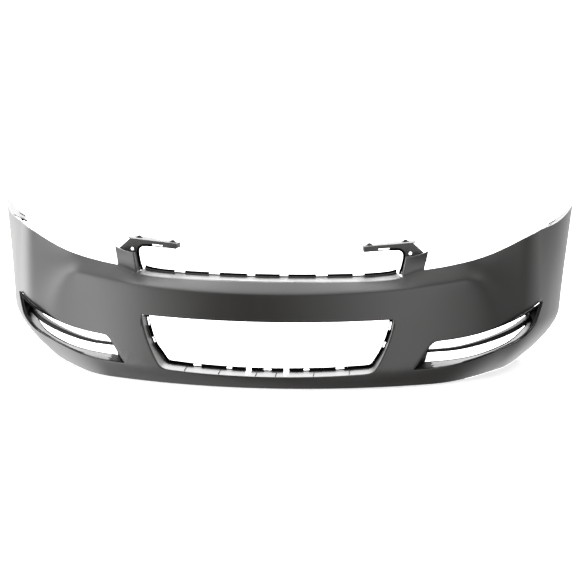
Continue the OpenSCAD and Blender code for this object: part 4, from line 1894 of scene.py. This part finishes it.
def dress_carried_nodes() -> None:
    """Gives each CAD node that is still shown its finish."""
    for name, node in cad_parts.items():
        if node.hide_render:
            continue
        look = next((look for word, look in CARRIED.items() if word in name), Look.PRIMER)
        node.data.materials.clear()
        node.data.materials.append(look.material)
        log.info("%s: carried over", name)


# ---------------------------------------------------------------------------
# Studio
# ---------------------------------------------------------------------------


@dataclass
class Studio:
    """A pale floor, soft light and the camera."""

    camera_at: Point3 = (366.0, -3953.0, 799.0)
    azimuth: float = 4.615
    elevation: float = 8.01
    roll: float = 0.45
    lens: float = 82.66
    floor_half: float = 30000.0
    round_light: tuple[Point2, ...] = (
        (-1, 2.4),
        (-0.86, 1.9),
        (-0.64, 4.6),
        (-0.55, 3.4),
        (-0.47, 1.6),
        (-0.44, 3.6),
        (-0.4, 8.5),
        (-0.35, 6.0),
        (-0.3, 3.2),
        (-0.25, 1.4),
        (-0.2, 0.7),
        (-0.15, 0.4),
        (-0.05, 0.15),
        (0, 0.3),
        (0.05, 0.8),
        (0.1, 1.2),
        (0.2, 2.7),
        (0.28, 3.6),
        (0.32, 2.6),
        (0.37, 0.6),
        (0.48, 0.3),
        (0.62, 0.9),
        (0.75, 0.9),
        (0.82, 1.6),
        (1, 2.4),
    )
    peak: float = 8.5
    far_share: float = 0.3
    top_light: float = 1.6
    back_light: float = 9.0
    floor_glow: float = 0.55
    backdrop: float = 1.15

    def floor(self) -> None:
        """Lays the floor."""
        h = self.floor_half
        shape = slab([(-h, -h), (h, -h), (h, h), (-h, h)], [], -20.0, -0.3)
        mesh = bpy.data.meshes.new("studio_floor")
        mesh.from_pydata((shape.points * MM).tolist(), [], shape.faces)
        mesh.materials.append(Look.FLOOR.material)
        self.camera_only(Look.FLOOR.material)
        floor = bpy.data.objects.new("studio_floor", mesh)
        bpy.context.scene.collection.objects.link(floor)

    def camera_only(self, material: bpy.types.Material) -> None:
        """Lets only the camera see the white floor, so that it doesn't light the face from below.

        Args:
            material: The floor's material.
        """
        nodes, links = material.node_tree.nodes, material.node_tree.links
        shader = nodes["Principled BSDF"]
        shader.inputs["Emission Color"].default_value = WHITE
        shader.inputs["Emission Strength"].default_value = self.floor_glow
        path = nodes.new("ShaderNodeLightPath")
        clear = nodes.new("ShaderNodeBsdfTransparent")
        pick = nodes.new("ShaderNodeMixShader")
        links.new(path.outputs["Is Camera Ray"], pick.inputs["Fac"])
        links.new(clear.outputs[0], pick.inputs[1])
        links.new(shader.outputs[0], pick.inputs[2])
        links.new(pick.outputs[0], nodes["Material Output"].inputs["Surface"])

    def world(self) -> None:
        """Surrounds the scene with soft light that changes with the direction round the cover."""
        world = bpy.data.worlds.new("studio_light")
        bpy.context.scene.world = world
        world.use_nodes = True
        nodes, links = world.node_tree.nodes, world.node_tree.links
        nodes.clear()
        coords = nodes.new("ShaderNodeTexCoord")
        parts = nodes.new("ShaderNodeSeparateXYZ")
        links.new(coords.outputs["Generated"], parts.inputs[0])

        def calc(kind: str, *values: object) -> bpy.types.NodeSocket:
            """A step of arithmetic on outputs or numbers."""
            step = nodes.new("ShaderNodeMath")
            step.operation = kind
            for slot, value in zip(step.inputs, values):
                if isinstance(value, bpy.types.NodeSocket):
                    links.new(value, slot)
                else:
                    slot.default_value = value
            return step.outputs[0]

        def eased(source: object, start: float, end: float, gain: float) -> bpy.types.NodeSocket:
            """A value that eases from 0 to a gain between a start and an end."""
            spread = nodes.new("ShaderNodeMapRange")
            spread.interpolation_type = "SMOOTHSTEP"
            for label, value in (("From Min", start), ("From Max", end), ("To Min", 0.0), ("To Max", gain)):
                spread.inputs[label].default_value = value
            links.new(source, spread.inputs["Value"])
            return spread.outputs["Result"]

        x, y, z = parts.outputs["X"], parts.outputs["Y"], parts.outputs["Z"]
        turn = calc("ARCTAN2", x, calc("MULTIPLY", y, -1.0))
        share = calc("MULTIPLY_ADD", turn, 0.5 / math.pi, 0.5)
        ramp = nodes.new("ShaderNodeValToRGB")
        ramp.color_ramp.interpolation = "EASE"
        stops = ramp.color_ramp.elements
        while len(stops) < len(self.round_light):
            stops.new(0.5)
        for stop, (place, level) in zip(stops, self.round_light):
            stop.position = (place + 1) / 2
            stop.color = (level / self.peak, level / self.peak, level / self.peak, 1.0)
        links.new(share, ramp.inputs["Fac"])
        around = calc("MULTIPLY", ramp.outputs["Color"], self.peak)
        steep = eased(calc("ABSOLUTE", z), 0.4, 0.8, 1.0 - self.far_share)
        level = calc("MULTIPLY", around, calc("SUBTRACT", 1.0, steep))
        above = eased(z, 0.75, 0.95, self.top_light)
        band = calc("MULTIPLY", eased(z, 0.3, 0.5, 1.0), eased(z, 0.95, 0.75, 1.0))
        behind = calc("MULTIPLY", eased(y, 0.1, 0.6, self.back_light), band)
        total = calc("ADD", calc("ADD", level, above), behind)
        light = nodes.new("ShaderNodeBackground")
        light.inputs["Color"].default_value = WHITE
        links.new(total, light.inputs["Strength"])
        backdrop = nodes.new("ShaderNodeBackground")
        backdrop.inputs["Color"].default_value = WHITE
        backdrop.inputs["Strength"].default_value = self.backdrop
        path = nodes.new("ShaderNodeLightPath")
        pick = nodes.new("ShaderNodeMixShader")
        links.new(path.outputs["Is Camera Ray"], pick.inputs["Fac"])
        links.new(light.outputs[0], pick.inputs[1])
        links.new(backdrop.outputs[0], pick.inputs[2])
        out = nodes.new("ShaderNodeOutputWorld")
        links.new(pick.outputs[0], out.inputs["Surface"])

    def camera(self) -> None:
        """Sets the camera."""
        data = bpy.data.cameras.new("camera")
        data.lens = self.lens
        data.sensor_width = 36.0
        data.clip_end = 200.0
        camera = bpy.data.objects.new("camera", data)
        az, el, ro = (math.radians(v) for v in (self.azimuth, self.elevation, self.roll))
        forward = Vector((-math.sin(az) * math.cos(el), math.cos(az) * math.cos(el), -math.sin(el)))
        level = Vector((math.cos(az), math.sin(az), 0.0))
        above = level.cross(forward)
        right = level * math.cos(ro) + above * math.sin(ro)
        up = above * math.cos(ro) - level * math.sin(ro)
        turn = Matrix((right, up, -forward)).transposed().to_4x4()
        camera.matrix_world = Matrix.Translation(Vector(self.camera_at) * MM) @ turn
        bpy.context.scene.collection.objects.link(camera)
        bpy.context.scene.camera = camera

    def build(self) -> None:
        """Sets up the whole studio."""
        self.floor()
        self.world()
        self.camera()
        bpy.context.scene.view_settings.view_transform = "Standard"


def main() -> None:
    """Builds every piece in order."""
    logging.basicConfig(level=logging.INFO, format="%(message)s")
    Studio().build()
    CoverSkin().build()
    UpperLedge().build()
    LowerLedge().build()
    for side in Side:
        GrilleTower().build(side)
        vent = SideVent()
        vent.walls(side)
        vent.rim(side)
        vent.blade(side)
        UpperArm().build(side)
    dress_carried_nodes()


if __name__ == "__main__":
    main()
